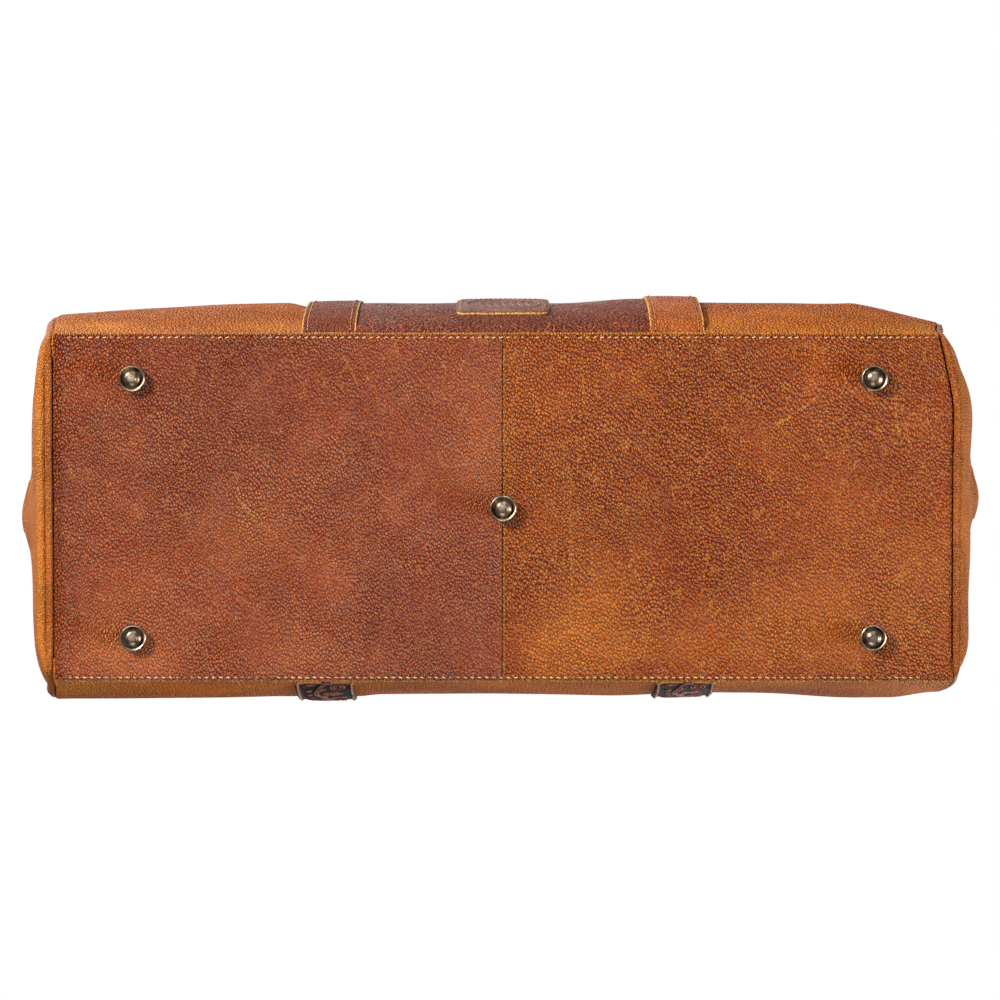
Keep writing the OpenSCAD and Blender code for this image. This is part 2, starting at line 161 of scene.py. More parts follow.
def edge_distance(rows, wrap):
    """How far each point of the rows lies from the nearest cut edge."""
    n, m = len(rows), len(rows[0])
    across = []
    for row in rows:
        run = [0.0]
        for j in range(1, m):
            run.append(run[-1] + (row[j][0] - row[j - 1][0]).length)
        across.append(run)
    down = [[0.0] * m]
    for i in range(1, n):
        down.append([down[-1][j] + (rows[i][j][0] - rows[i - 1][j][0]).length for j in range(m)])
    values = []
    for i in range(n):
        for j in range(m):
            near = min(down[i][j], down[n - 1][j] - down[i][j])
            if not wrap:
                near = min(near, across[i][j], across[i][m - 1] - across[i][j])
            values.append(near)
    return values


def outward(obj):
    """Turns the faces so that they point out of the closed mesh."""
    mesh = obj.data
    bm = bmesh.new()
    bm.from_mesh(mesh)
    bmesh.ops.recalc_face_normals(bm, faces=bm.faces)
    bm.to_mesh(mesh)
    bm.free()
    mesh.set_sharp_from_angle(angle=math.radians(SMOOTH_ANGLE))
    return obj


def leather_piece(name, rows, thick, material, edge_round=0.45, extra=None):
    """A piece of leather from rows of (point, normal).

    extra gives more point attributes as functions of the point. sewn, the distance to a sewn line, is far off unless
    extra says otherwise.
    """
    verts, faces, attributes = hide_grid(rows, thick)
    attributes["sewn"] = [50.0] * len(verts)
    for key, value in (extra or {}).items():
        attributes[key] = [value(v) for v in verts]
    obj = outward(mesh_object(name, verts, faces, material, attributes=attributes))
    if edge_round:
        bevel(obj, edge_round)
    return obj


def closed_dome(rows, thick):
    """Leather whose rows are loops round a middle, with a flat piece inside the last loop."""
    verts, faces, attributes = hide_grid(rows, thick, wrap=True)
    n, m = len(rows), len(rows[0])
    outer = [(n - 1) * m + j for j in range(m)]
    inner = [n * m + v for v in outer]
    last_loop = set(outer + inner)
    faces = [f for f in faces if not set(f) <= last_loop]
    faces += [tuple(outer), tuple(reversed(inner))]
    return verts, faces, attributes


def loft(rings):
    """Points and faces of a solid through rings of equally many points, with flat ends."""
    sides = len(rings[0])
    verts = [v for ring in rings for v in ring]
    faces = []
    for i in range(len(rings) - 1):
        for k in range(sides):
            j = (k + 1) % sides
            faces.append((i * sides + k, i * sides + j, (i + 1) * sides + j, (i + 1) * sides + k))
    faces.append(tuple(range(sides))[::-1])
    faces.append(tuple((len(rings) - 1) * sides + k for k in range(sides)))
    return verts, faces


def tube(path, radius, sides=12, closed=False, up=Vector((0, 1, 0)), caps=True, shape=None):
    """Points and faces of a tube along a path.

    radius is a number or a function of 0..1 along the path. shape(angle, f, radius), if given, returns how far a
    point of the ring lies along the side and the normal.
    """
    verts, faces = [], []
    n = len(path)
    for i in range(n):
        if closed:
            t = (path[(i + 1) % n] - path[i - 1]).normalized()
        else:
            t = (path[min(i + 1, n - 1)] - path[max(i - 1, 0)]).normalized()
        side = t.cross(up).normalized()
        normal = side.cross(t).normalized()
        f = i / max(n - 1, 1)
        r = radius(f) if callable(radius) else radius
        for k in range(sides):
            a = 2 * math.pi * k / sides
            u, w = math.cos(a) * r, math.sin(a) * r
            if shape:
                u, w = shape(a, f, r)
            verts.append(path[i] + side * u + normal * w)
    rings = n if closed else n - 1
    for i in range(rings):
        for k in range(sides):
            a, b = i * sides + k, i * sides + (k + 1) % sides
            c, d = ((i + 1) % n) * sides + (k + 1) % sides, ((i + 1) % n) * sides + k
            faces.append((a, b, c, d))
    if caps and not closed:
        faces.append(tuple(range(sides))[::-1])
        faces.append(tuple((n - 1) * sides + k for k in range(sides)))
    return verts, faces


def lathe(profile, sides=48, centre=Vector((0, 0, 0)), axis=Vector((0, 0, 1))):
    """Points and faces of a turned piece from (radius, height) pairs. Radii of 0 close it."""
    turn = Vector((0, 0, 1)).rotation_difference(axis).to_matrix()
    verts, faces, rings = [], [], []
    for r, h in profile:
        if r <= 1e-6:
            rings.append([len(verts)] * sides)
            verts.append(centre + turn @ Vector((0, 0, h)))
            continue
        rings.append([len(verts) + k for k in range(sides)])
        for k in range(sides):
            a = 2 * math.pi * k / sides
            verts.append(centre + turn @ Vector((r * math.cos(a), r * math.sin(a), h)))
    for low, high in zip(rings, rings[1:]):
        for k in range(sides):
            j = (k + 1) % sides
            face = []
            for v in (low[k], low[j], high[j], high[k]):
                if v not in face:
                    face.append(v)
            if len(face) > 2:
                faces.append(tuple(face))
    return verts, faces


def joined(parts):
    """Several (points, faces) as one."""
    verts, faces = [], []
    for v, f in parts:
        base = len(verts)
        verts += v
        faces += [tuple(i + base for i in face) for face in f]
    return verts, faces


def smooth(x, low, high):
    """Rises softly from 0 at low to 1 at high."""
    t = min(max((x - low) / (high - low), 0.0), 1.0)
    return t * t * (3 - 2 * t)


def spread(low, high, count):
    """count numbers, evenly spaced from low to high."""
    return [low + (high - low) * i / (count - 1) for i in range(count)]


def around(degrees):
    """Cosine and sine of an angle in degrees."""
    a = math.radians(degrees)
    return math.cos(a), math.sin(a)


def squircle(a, exponent):
    """A point of a unit square with round corners at the angle a. An exponent of 1 makes it a circle."""
    c, s = math.cos(a), math.sin(a)
    return math.copysign(abs(c) ** exponent, c), math.copysign(abs(s) ** exponent, s)


# =====================================================================================
# The bag's section and its soft shape
# =====================================================================================

def bezier(p, t):
    """A point at t on the cubic curve with the four control points p."""
    u = 1 - t
    return tuple(u ** 3 * a + 3 * t * u * u * b + 3 * t * t * u * c + t ** 3 * d for a, b, c, d in zip(*p))


def bezier_dir(p, t):
    """The curve's direction at t."""
    u = 1 - t
    d = [u * u * (b - a) + 2 * t * u * (c - b) + t * t * (e - c) for a, b, c, e in zip(*p)]
    size = math.hypot(*d)
    return d[0] / size, d[1] / size


def narrowing(x, side):
    """How much closer to the middle a side's fullest part lies near the ends. The back stays nearly full."""
    if side == FRONT and x < 0:
        return 8.6 * max((-x - 120.0) / 127.0, 0.0) ** 1.7
    if side == FRONT:
        return 14.0 * max((x - 202.0) / 45.0, 0.0) ** 1.15
    if x < 0:
        return -2.8 * max((-x - 130.0) / 117.0, 0.0)
    return 2.4 * smooth(x, 60, 120) - 4.4 * smooth(x, 140, 205) + 5.0 * smooth(x, 222, 247)


def side_points(x, side):
    """Control points (y, z) of the side's curve at x, from the bottom seam to the shoulder."""
    n = narrowing(x, side)
    return (
        (HALF_DEPTH + 1, FOOT_H + 5),
        (HALF_DEPTH + SIDE_BULGE + 10 - 1.1 * n, FOOT_H + 86),
        (HALF_DEPTH + SIDE_BULGE + 4 - 1.1 * n, RIDGE_Z - 85),
        (HALF_DEPTH - 10 - 0.35 * n, RIDGE_Z - 37),
    )


def top_points(x, side):
    """Control points (y, z) of the top's curve at x, from the shoulder to the zipper."""
    knee, shoulder = side_points(x, side)[2:]
    dy, dz = shoulder[0] - knee[0], shoulder[1] - knee[1]
    size = math.hypot(dy, dz)
    return (
        shoulder,
        (shoulder[0] + 24 * dy / size, shoulder[1] + 24 * dz / size),
        (HALF_DEPTH / 2, RIDGE_Z),
        (ZIP_HALF_GAP, RIDGE_Z),
    )


# How far each corner's end seam bows out at half height, and where along the bag the bow begins
BOW = {(LEFT, FRONT): 4.5, (LEFT, BACK): 6.0, (RIGHT, FRONT): 1.5, (RIGHT, BACK): -1.5}
BOW_FROM = 150.0


def bow(end, y, z):
    """How far the filled bag pushes its end seam outward, most at half height. One corner is pulled in."""
    back = smooth(y, -85, 85)
    most = BOW[end, FRONT] * (1 - back) + BOW[end, BACK] * back
    out = most * smooth(z, 14, 88) * (1 - smooth(z, 128, 222)) + 2.3 * (1 - smooth(z, 180, 230))
    if end == RIGHT:
        out -= 6.5 * smooth(-y, 52, 97) * (1 - smooth(z, 24, 105))
        out -= 3.0 * smooth(-y, 84, 104) * (1 - smooth(z, 140, 220))
    return out


def bowed(x, y, z):
    """Where a point at x lies once the end seams have bowed out."""
    end = LEFT if x < 0 else RIGHT
    share = max((abs(x) - BOW_FROM) / (HALF_LEN - BOW_FROM), 0.0) ** 1.5
    return x + end * bow(end, y, z) * share


def slack(x, s, side):
    """Soft unevenness of the filled leather along its normal. It dies out at the seams."""
    hold = math.sin(math.pi * min(max(s if s < 1 else 2 - s, 0.0), 1.0)) ** 0.7
    p = Vector((x * 0.011, s * 1.7 + 4.1 * side, 3.7 * side))
    soft = 1.2 * noise.noise(p) + 0.6 * noise.noise(p * 2.3 + Vector((5, 1, 2)))
    if side == FRONT:
        soft -= 2.9 * smooth(x, -126, -110) * (1 - smooth(x, 30, 82))
    else:
        soft -= 1.3 * smooth(x, -84, -70) * (1 - smooth(x, 20, 80))
    return hold * soft


def skin(x, s, side, off=0.0):
    """A point of the bag, off its surface, and its outward normal.

    s runs from 0 at the bottom seam over 1, the shoulder, to 2, the zipper.
    """
    points, t = (side_points(x, side), s) if s <= 1 else (top_points(x, side), s - 1)
    y, z = bezier(points, t)
    dy, dz = bezier_dir(points, t)
    ny, nz = dz, -dy
    d = off + (slack(x, s, side) if off > -3 else 0.5 * slack(x, s, side))
    return Vector((bowed(x, side * SEAM_Y, z), side * (y + d * ny), z + d * nz)), Vector((0, side * ny, nz))


def panel_rows(side, xs, ss, off):
    """Rows of the bag's skin at each s along xs. off is a number or a function of (x, s)."""
    return [[skin(x, s, side, off(x, s) if callable(off) else off) for x in xs] for s in ss]


# =====================================================================================
# Stitches
# =====================================================================================

# A stitch's rings as (place along it, thickness, lift off the leather), as shares of its length and size
STITCH_RINGS = ((-0.5, 0.55, -0.55), (-0.36, 0.95, 0.1), (0.0, 1.05, 0.35), (0.36, 0.95, 0.1), (0.5, 0.55, -0.55))
STITCH_SIDES = 6


def stitch(middle, along, up, size, length):
    """One rounded thread, a little flattened, that dips into the leather at both ends."""
    side = along.cross(up).normalized()
    rings = []
    for f_len, f_r, lift in STITCH_RINGS:
        c = middle + along * (f_len * length) + up * (lift * size)
        ring = []
        for k in range(STITCH_SIDES):
            a = 2 * math.pi * k / STITCH_SIDES
            ring.append(c + side * (math.cos(a) * size * f_r) + up * (math.sin(a) * size * f_r * 0.8))
        rings.append(ring)
    return loft(rings)


def stitch_rows(rows, pitch=PITCH, size=0.4, length=3.0, slant=0.0):
    """Stitches along a row of (point, normal). slant turns each one off the row's direction."""
    lengths = [0.0]
    for (a, _), (b, _) in zip(rows, rows[1:]):
        lengths.append(lengths[-1] + (b - a).length)
    parts = []
    at, i = pitch / 2, 0
    for _ in range(int(lengths[-1] / pitch)):
        while i < len(rows) - 2 and lengths[i + 1] < at:
            i += 1
        (start, up), (end, _) = rows[i], rows[i + 1]
        f = (at - lengths[i]) / max(lengths[i + 1] - lengths[i], 1e-6)
        along = (end - start).normalized()
        along = (along + slant * along.cross(up).normalized()).normalized()
        parts.append(stitch(start.lerp(end, f), along, up, size, length))
        at += pitch
    return parts


def stitches(name, parts, body, slot, material):
    """The stitches of a seam as one piece."""
    verts, faces = joined(parts)
    return place(mesh_object(name, verts, faces, material, smooth_angle=60), body, slot)


# =====================================================================================
# Materials
# =====================================================================================

class Nodes:
    """A material's node tree, with short names for the few nodes that these materials use."""

    def __init__(self, name):
        self.material = bpy.data.materials.new(name)
        self.material.use_nodes = True
        self.tree = self.material.node_tree
        self.shader = self.tree.nodes["Principled BSDF"]

    def new(self, kind, **inputs):
        node = self.tree.nodes.new(kind)
        for key, value in inputs.items():
            self.feed(node.inputs[key.replace("_", " ")], value)
        return node

    def feed(self, socket, value):
        if isinstance(value, bpy.types.NodeSocket):
            self.tree.links.new(value, socket)
        else:
            socket.default_value = value

    def feed_colour(self, socket, colour):
        self.feed(socket, colour if isinstance(colour, bpy.types.NodeSocket) else (*colour, 1))

    def coords(self, source="object"):
        """Places in the material: the object's own, or where the point was at rest."""
        if source == "rest":
            node = self.tree.nodes.new("ShaderNodeAttribute")
            node.attribute_name = "rest"
            return node.outputs["Vector"]
        return self.tree.nodes.new("ShaderNodeTexCoord").outputs["Object"]

    def attribute(self, name):
        node = self.tree.nodes.new("ShaderNodeAttribute")
        node.attribute_name = name
        return node.outputs["Fac"]

    def mapping(self, vector, scale=(1, 1, 1), turn=(0, 0, 0), move=(0, 0, 0)):
        node = self.new("ShaderNodeMapping", Vector=vector)
        node.inputs["Scale"].default_value = scale
        node.inputs["Rotation"].default_value = turn
        node.inputs["Location"].default_value = move
        return node.outputs[0]

    def noise(self, vector, scale, detail=3.0, rough=0.5, distortion=0.0):
        node = self.new("ShaderNodeTexNoise", Vector=vector, Scale=scale, Detail=detail, Roughness=rough)
        node.inputs["Distortion"].default_value = distortion
        return node.outputs["Fac"]

    def voronoi(self, vector, scale, feature="F1", out="Distance", randomness=1.0, flat=False):
        node = self.tree.nodes.new("ShaderNodeTexVoronoi")
        node.voronoi_dimensions = "2D" if flat else "3D"
        node.feature = feature
        self.feed(node.inputs["Vector"], vector)
        node.inputs["Scale"].default_value = scale
        node.inputs["Randomness"].default_value = randomness
        return node.outputs[out]

    def math(self, op, a, b=0.0, clamp=False):
        node = self.tree.nodes.new("ShaderNodeMath")
        node.operation = op
        node.use_clamp = clamp
        self.feed(node.inputs[0], a)
        self.feed(node.inputs[1], b)
        return node.outputs[0]

    def vmath(self, op, a, b):
        node = self.tree.nodes.new("ShaderNodeVectorMath")
        node.operation = op
        self.feed(node.inputs[0], a)
        self.feed(node.inputs[1], b)
        return node.outputs["Value"] if op in ("DISTANCE", "DOT_PRODUCT") else node.outputs[0]

    def vscale(self, vector, factor):
        node = self.tree.nodes.new("ShaderNodeVectorMath")
        node.operation = "SCALE"
        self.feed(node.inputs[0], vector)
        self.feed(node.inputs["Scale"], factor)
        return node.outputs[0]

    def shift(self, vector, scale, detail, reach):
        """A noisy move of up to half of reach each way."""
        colour = self.new("ShaderNodeTexNoise", Vector=vector, Scale=scale, Detail=detail).outputs["Color"]
        return self.vscale(self.vmath("SUBTRACT", colour, (0.5, 0.5, 0.5)), reach)

    def step(self, value, low, high, out_low=0.0, out_high=1.0):
        """A smooth ramp of a value from low to high."""
        node = self.tree.nodes.new("ShaderNodeMapRange")
        node.interpolation_type = "SMOOTHSTEP"
        self.feed(node.inputs["Value"], value)
        for key, number in (("From Min", low), ("From Max", high), ("To Min", out_low), ("To Max", out_high)):
            node.inputs[key].default_value = number
        return node.outputs[0]

    def mix(self, factor, a, b):
        node = self.tree.nodes.new("ShaderNodeMix")
        node.data_type = "RGBA"
        self.feed(node.inputs[0], factor)
        self.feed_colour(node.inputs[6], a)
        self.feed_colour(node.inputs[7], b)
        return node.outputs[2]

    def bump(self, height, strength, distance):
        return self.new("ShaderNodeBump", Height=height, Strength=strength, Distance=distance).outputs[0]

    def finish(self, colour, rough, normal=None, metallic=0.0, **sockets):
        self.feed_colour(self.shader.inputs["Base Color"], colour)
        self.feed(self.shader.inputs["Roughness"], rough)
        self.shader.inputs["Metallic"].default_value = metallic
        if normal is not None:
            self.feed(self.shader.inputs["Normal"], normal)
        for key, value in sockets.items():
            self.shader.inputs[key.replace("_", " ")].default_value = value
        return self.material


def srgb(r, g, b):
    """An sRGB colour of 0..255 as linear values."""
    return tuple(c / 255 / 12.92 if c <= 10 else ((c / 255 + 0.055) / 1.055) ** 2.4 for c in (r, g, b))


# The undyed leather at a cut edge and on the flesh side
RAW_EDGE = srgb(250, 190, 88)
FLESH = srgb(196, 140, 84)


def leather(name, dark, mid, light, crease, pebble=2.0, stretch=(1, 1, 1), turn=(0, 0, 0), relief=0.9,
            rough=0.42, coords="object", tone=False, marks=(), stitched=False, pull=0.5, painted_pebble_shading=0.55, shine=0.32,
            flat=False, rim=0.5):
    """Pull-up leather: domed pebbles, with a painted highlight on their crowns and painted shade in the hollows
    between them, and lighter creases, on a colour that drifts.

    pebble is the grain's size in mm, relief how deep it is, valley how strong the painted shade between the pebbles
    and the painted highlight on their crowns are, and stretch and turn lay it along a direction. pull is how much of
    the crease colour shows along the folds. tone takes the drift from the mesh's own tone attribute as well, which
    on the front and back panels also holds painted light and shade. stitched reads the distance to the sewn line
    from the sewn attribute and darkens the stitch groove there with painted shade. marks are scratches as (start,
    end, width) in mm. flat is for a level piece, whose grain only needs x and y. rim is how bright a stitched
    piece's edge is.
    """
    n = Nodes(name)
    at = n.coords(coords)
    flow = n.shift(at, 16.0, 2.0, 0.012)
    wobble = n.shift(at, 260.0, 2.0, 0.0007)
    grain_at = n.mapping(n.vmath("ADD", n.vmath("ADD", at, flow), wobble), stretch, turn)
    cells = 1 / (pebble * MM)
    pebble_at = n.voronoi(grain_at, cells, randomness=0.9, flat=flat)
    edge_at = n.voronoi(grain_at, cells, "DISTANCE_TO_EDGE", randomness=0.9, flat=flat)
    fine_pebble = n.voronoi(grain_at, cells * 1.9, "DISTANCE_TO_EDGE", flat=flat)
    folds = n.voronoi(n.mapping(grain_at, (1.0, 0.7, 1.0), move=(0.3, 0.1, 0.2)), cells / 1.7, "DISTANCE_TO_EDGE")
    fine = n.noise(at, 1500.0, 2.0)
    drift = n.noise(at, 9.0, 5.0, 0.62, 0.6)
    patch = n.noise(at, 45.0, 4.0, 0.6, 0.4)
    clear = n.step(n.noise(at, 26.0, 3.0, 0.5), 0.34, 0.62, 0.6, 1.0)
    middle = 0.40 if flat else 0.50
    # Colour
    colour = n.mix(n.step(drift, 0.28, 0.76), dark, mid)
    colour = n.mix(n.step(patch, 0.46, 0.8, 0.0, 0.35), colour, light)
    if tone:
        t = n.attribute("tone")
        colour = n.mix(n.step(t, 0.0, 1.0, 0.0, 0.75), colour, light)
        colour = n.mix(n.step(t, 0.0, -1.0, 0.0, 0.75), colour, dark)
    # Painted light on the grain: a painted highlight on each pebble's crown, and painted shade, nearly black, in the
    # hollows between the pebbles.
    low = n.math("MULTIPLY", n.step(edge_at, 0.20, 0.0), clear)
    crown = n.math("MULTIPLY", n.step(pebble_at, middle, middle - 0.28), clear)
    colour = n.mix(n.math("MULTIPLY", crown, 0.75 * painted_pebble_shading), colour, light)
    colour = n.mix(n.math("MULTIPLY", low, painted_pebble_shading), colour, (dark[0] * 0.34, dark[1] * 0.24, dark[2] * 0.16))
    broken = n.step(n.noise(at, 130.0, 3.0, 0.6), 0.36, 0.66, 0.25, 1.0)
    line = n.math("MULTIPLY", n.step(folds, 0.10, 0.0), broken)
    colour = n.mix(n.math("MULTIPLY", line, pull, True), colour, crease)
    for start, end, width in marks:
        colour = n.mix(scratch(n, at, start, end, width), colour, crease)
    if stitched:
        # The stitch groove is pressed into the relief below, and its colour is darkened nearly to black as painted
        # shade.
        groove = n.step(n.attribute("sewn"), 0.85, 0.3)
        colour = n.mix(n.math("MULTIPLY", groove, 0.92), colour, tuple(c * 0.18 for c in dark))
        border = n.step(n.attribute("edge"), 1.4, 0.4)
        colour = n.mix(n.math("MULTIPLY", border, rim), colour, RAW_EDGE if rim > 0.5 else crease)
    raw = n.step(n.attribute("raw"), 0.12, 0.35)
    suede = n.mix(n.noise(at, 700.0, 4.0, 0.7), RAW_EDGE, FLESH)
    colour = n.mix(raw, colour, suede)
    # Relief
    dome = n.math("ADD", n.step(pebble_at, middle + 0.28, 0.02), n.step(edge_at, 0.0, 0.25))
    height = n.math("MULTIPLY", dome, clear)
    height = n.math("ADD", height, n.math("MULTIPLY", n.step(fine_pebble, 0.0, 0.35), 0.22))
    height = n.math("SUBTRACT", height, n.math("MULTIPLY", line, 0.35))
    height = n.math("ADD", height, n.math("MULTIPLY", fine, 0.12))
    if stitched:
        height = n.math("SUBTRACT", height, n.math("MULTIPLY", groove, 0.8))
    normal = n.bump(height, 1.0, relief * MM)
    rough_value = n.step(n.math("ADD", n.math("MULTIPLY", patch, 0.6), n.math("MULTIPLY", fine, 0.4)),
                         0.25, 0.8, rough - 0.08, rough + 0.16)
    rough_value = n.math("MAXIMUM", rough_value, n.math("MULTIPLY", raw, 0.85))
    return n.finish(colour, rough_value, normal, Specular_IOR_Level=shine)


def scratch(n, at, start, end, width):
    """1 on a fine broken line between two points of the bottom, given as (x, y) in mm."""
    a = Vector((start[0] * MM, start[1] * MM, 0))
    b = Vector((end[0] * MM, end[1] * MM, 0))
    flat = n.vmath("MULTIPLY", at, (1, 1, 0))
    bend = n.shift(flat, 90.0, 3.0, 0.006)
    rel = n.vmath("SUBTRACT", n.vmath("ADD", flat, bend), tuple(a))
    along = n.math("DIVIDE", n.vmath("DOT_PRODUCT", rel, tuple((b - a).normalized())), (b - a).length, True)
    foot = n.vscale(tuple(b - a), along)
    away = n.vmath("DISTANCE", rel, foot)
    line = n.step(away, width * MM, 0.15 * width * MM)
    ends = n.math("MULTIPLY", n.step(along, 0.0, 0.2), n.step(along, 1.0, 0.75))
    broken = n.step(n.noise(at, 300.0, 2.0), 0.35, 0.6, 0.0, 0.55)
    return n.math("MULTIPLY", n.math("MULTIPLY", line, ends), broken)


def tooled(name, ground, raised):
    """Carved leather: dyed nearly black in the ground, red-brown on the raised scrolls."""
    n = Nodes(name)
    at = n.coords()
    high = n.attribute("carved")
    worn = n.noise(at, 160.0, 4.0, 0.6)
    uneven = n.math("MULTIPLY", n.math("SUBTRACT", worn, 0.5), 0.5)
    colour = n.mix(n.step(n.math("ADD", high, uneven), 0.35, 0.8), ground, raised)
    colour = n.mix(n.step(worn, 0.55, 0.8, 0.0, 0.4), colour, tuple(c * 1.6 for c in raised))
    stipple = n.voronoi(at, 1 / (0.9 * MM), "F1")
    height = n.math("MULTIPLY", n.math("SUBTRACT", 1.0, high), n.math("MULTIPLY", stipple, 0.6))
    height = n.math("ADD", height, n.math("MULTIPLY", n.noise(at, 1400.0), 0.25))
    raw = n.step(n.attribute("raw"), 0.12, 0.35)
    colour = n.mix(raw, colour, srgb(38, 24, 22))
    rough = n.step(high, 0.0, 1.0, 0.7, 0.55)
    return n.finish(colour, rough, n.bump(height, 0.35, 0.0006), Specular_IOR_Level=0.2)


def brass(name, deep, bright, rough=0.34):
    """Antique plating: dark in the hollows, rubbed bright on the raised edges."""
    n = Nodes(name)
    at = n.coords()
    cloud = n.noise(at, 220.0, 4.0, 0.6)
    fine = n.noise(at, 1800.0, 3.0, 0.6)
    rub = n.math("MULTIPLY", n.attribute("rub"), 0.75)
    mask = n.math("ADD", n.step(cloud, 0.35, 0.7, 0.0, 0.45), rub, True)
    colour = n.mix(mask, deep, bright)
    rough_value = n.step(fine, 0.2, 0.8, rough - 0.08, rough + 0.14)
    return n.finish(colour, rough_value, n.bump(fine, 0.12, 0.0002), metallic=1.0)


def cloth(name, warp, weft, pitch=0.9, coords="object"):
    """A plain weave with threads of two shades, pitch mm apart."""
    n = Nodes(name)
    at = n.coords(coords)
    k = 2 * math.pi / (pitch * MM)
    split = n.tree.nodes.new("ShaderNodeSeparateXYZ")
    n.feed(split.inputs[0], at)
    x, y, z = split.outputs
    up = n.math("ADD", y, z)
    a = n.math("SINE", n.math("MULTIPLY", x, k))
    b = n.math("SINE", n.math("MULTIPLY", up, k))
    over = n.math("MULTIPLY", a, b)
    slub = n.noise(n.mapping(at, (60, 900, 900)), 1.0, 3.0)
    colour = n.mix(n.step(over, -0.4, 0.4), warp, weft)
    colour = n.mix(n.step(slub, 0.35, 0.75, 0.0, 0.35), colour, tuple(c * 0.6 for c in warp))
    height = n.math("ADD", n.math("ABSOLUTE", over), n.math("MULTIPLY", slub, 0.4))
    return n.finish(colour, 0.88, n.bump(height, 0.5, 0.0004), Sheen_Weight=0.25, Sheen_Roughness=0.5)


def thread(name, light, dark):
    """Waxed thread: light, soiled here and there, with a fine twist."""
    n = Nodes(name)
    at = n.coords()
    soil = n.noise(at, 60.0, 4.0, 0.65)
    colour = n.mix(n.step(soil, 0.42, 0.68), light, dark)
    twist = n.noise(n.mapping(at, (3.0, 1.0, 1.0)), 1900.0, 1.0)
    return n.finish(colour, 0.62, n.bump(twist, 0.4, 0.0003))


def plain(name, colour, spot, rough, scale=500.0):
    """A mottled finish for the hidden and small parts."""
    n = Nodes(name)
    at = n.coords()
    grain = n.noise(at, scale, 4.0, 0.65)
    tint = n.mix(n.step(grain, 0.35, 0.7), colour, spot)
    return n.finish(tint, rough, n.bump(grain, 0.3, 0.0004))


# Scratches of the bottom as (start, end, width), in mm
SCRATCHES_RIGHT = (
    ((148, -43), (178, -64), 1.6), ((41, -60), (43, 40), 1.1), ((37, -30), (39, 70), 0.9),
    ((44, -92), (46, -20), 0.8), ((214, -90), (222, -30), 1.2),
)
SCRATCHES_LEFT = (
    ((-92, -90), (-76, -62), 1.0), ((-78, -86), (-74, -66), 1.3), ((-75, -55), (-77, -46), 0.9),
    ((-12, -80), (12, -30), 0.7), ((-46, -72), (-18, -50), 0.7), ((-150, -8), (-128, 16), 1.4),
)

BASE_LEFT = leather(
    "base leather left", srgb(148, 52, 26), srgb(188, 78, 36), srgb(238, 132, 66), srgb(250, 164, 84),
    pebble=1.75, stretch=(1.3, 0.8, 1), turn=(0, 0, math.radians(32)), tone=True, marks=SCRATCHES_LEFT,
    stitched=True, pull=0.35, relief=2.9, shine=0.5, rough=0.36, painted_pebble_shading=0.95, flat=True)
BASE_RIGHT = leather(
    "base leather right", srgb(150, 52, 14), srgb(190, 78, 20), srgb(242, 132, 42), srgb(252, 168, 62),
    pebble=1.85, stretch=(1.25, 0.8, 1), turn=(0, 0, math.radians(-24)), tone=True, marks=SCRATCHES_RIGHT,
    stitched=True, pull=0.5, relief=2.9, shine=0.3, painted_pebble_shading=0.95, flat=True)
TAN = leather(
    "body leather", srgb(166, 76, 24), srgb(204, 104, 30), srgb(232, 142, 52), srgb(240, 158, 68),
    pebble=1.9, stretch=(1, 1, 0.65), tone=True, pull=0.25, relief=1.2, rough=0.6, painted_pebble_shading=0.5, shine=0.08)
TAN_REST = leather(
    "top leather", srgb(170, 82, 26), srgb(206, 112, 34), srgb(230, 146, 50), srgb(244, 164, 74),
    pebble=1.7, coords="rest", pull=0.3, relief=0.9, painted_pebble_shading=0.5, shine=0.3)
END = leather(
    "end leather", srgb(176, 92, 38), srgb(212, 120, 50), srgb(234, 150, 72), srgb(240, 160, 86),
    pebble=1.5, stretch=(1, 1, 0.6), pull=0.25, relief=0.7, rough=0.4, painted_pebble_shading=0.4)
PIPE = leather(
    "piping leather", srgb(166, 84, 28), srgb(214, 124, 40), srgb(240, 162, 66), srgb(244, 170, 82),
    pebble=1.4, pull=0.25, relief=0.6, rough=0.42, painted_pebble_shading=0.4, shine=0.25)
PIPE_DARK = leather(
    "piping bead leather", srgb(138, 62, 18), srgb(188, 96, 30), srgb(218, 130, 48), srgb(236, 160, 74),
    pebble=1.4, pull=0.4, relief=0.6, rough=0.42, painted_pebble_shading=0.5, shine=0.25)
POCKET = leather(
    "pocket leather", srgb(70, 24, 10), srgb(106, 42, 18), srgb(140, 64, 28), srgb(188, 92, 38),
    pebble=2.6, relief=0.5, pull=0.7, rough=0.5, painted_pebble_shading=0.3, shine=0.12)
STRAP_DARK = leather(
    "left strap leather", srgb(98, 36, 14), srgb(134, 54, 22), srgb(168, 80, 34), srgb(184, 98, 46),
    pebble=1.9, stitched=True, pull=0.3, relief=0.6, rough=0.52, painted_pebble_shading=0.4, shine=0.12, rim=0.9)
STRAP_RIGHT = leather(
    "right strap leather", srgb(148, 64, 20), srgb(190, 94, 32), srgb(220, 124, 46), srgb(222, 134, 58),
    pebble=1.9, stitched=True, pull=0.35, relief=0.6, rough=0.52, painted_pebble_shading=0.4, shine=0.12, rim=0.9)
STRAP_TAN = leather(
    "strap leather", srgb(136, 60, 24), srgb(176, 88, 34), srgb(204, 116, 48), srgb(222, 134, 62),
    pebble=1.9, stitched=True, pull=0.35, relief=0.6, rough=0.5, painted_pebble_shading=0.4, shine=0.2, rim=0.25)
PATCH = leather(
    "patch leather", srgb(88, 44, 36), srgb(128, 76, 62), srgb(164, 112, 94), srgb(196, 146, 114),
    pebble=1.3, pull=0.2, relief=0.25, rough=0.42, painted_pebble_shading=0.2, shine=0.6)
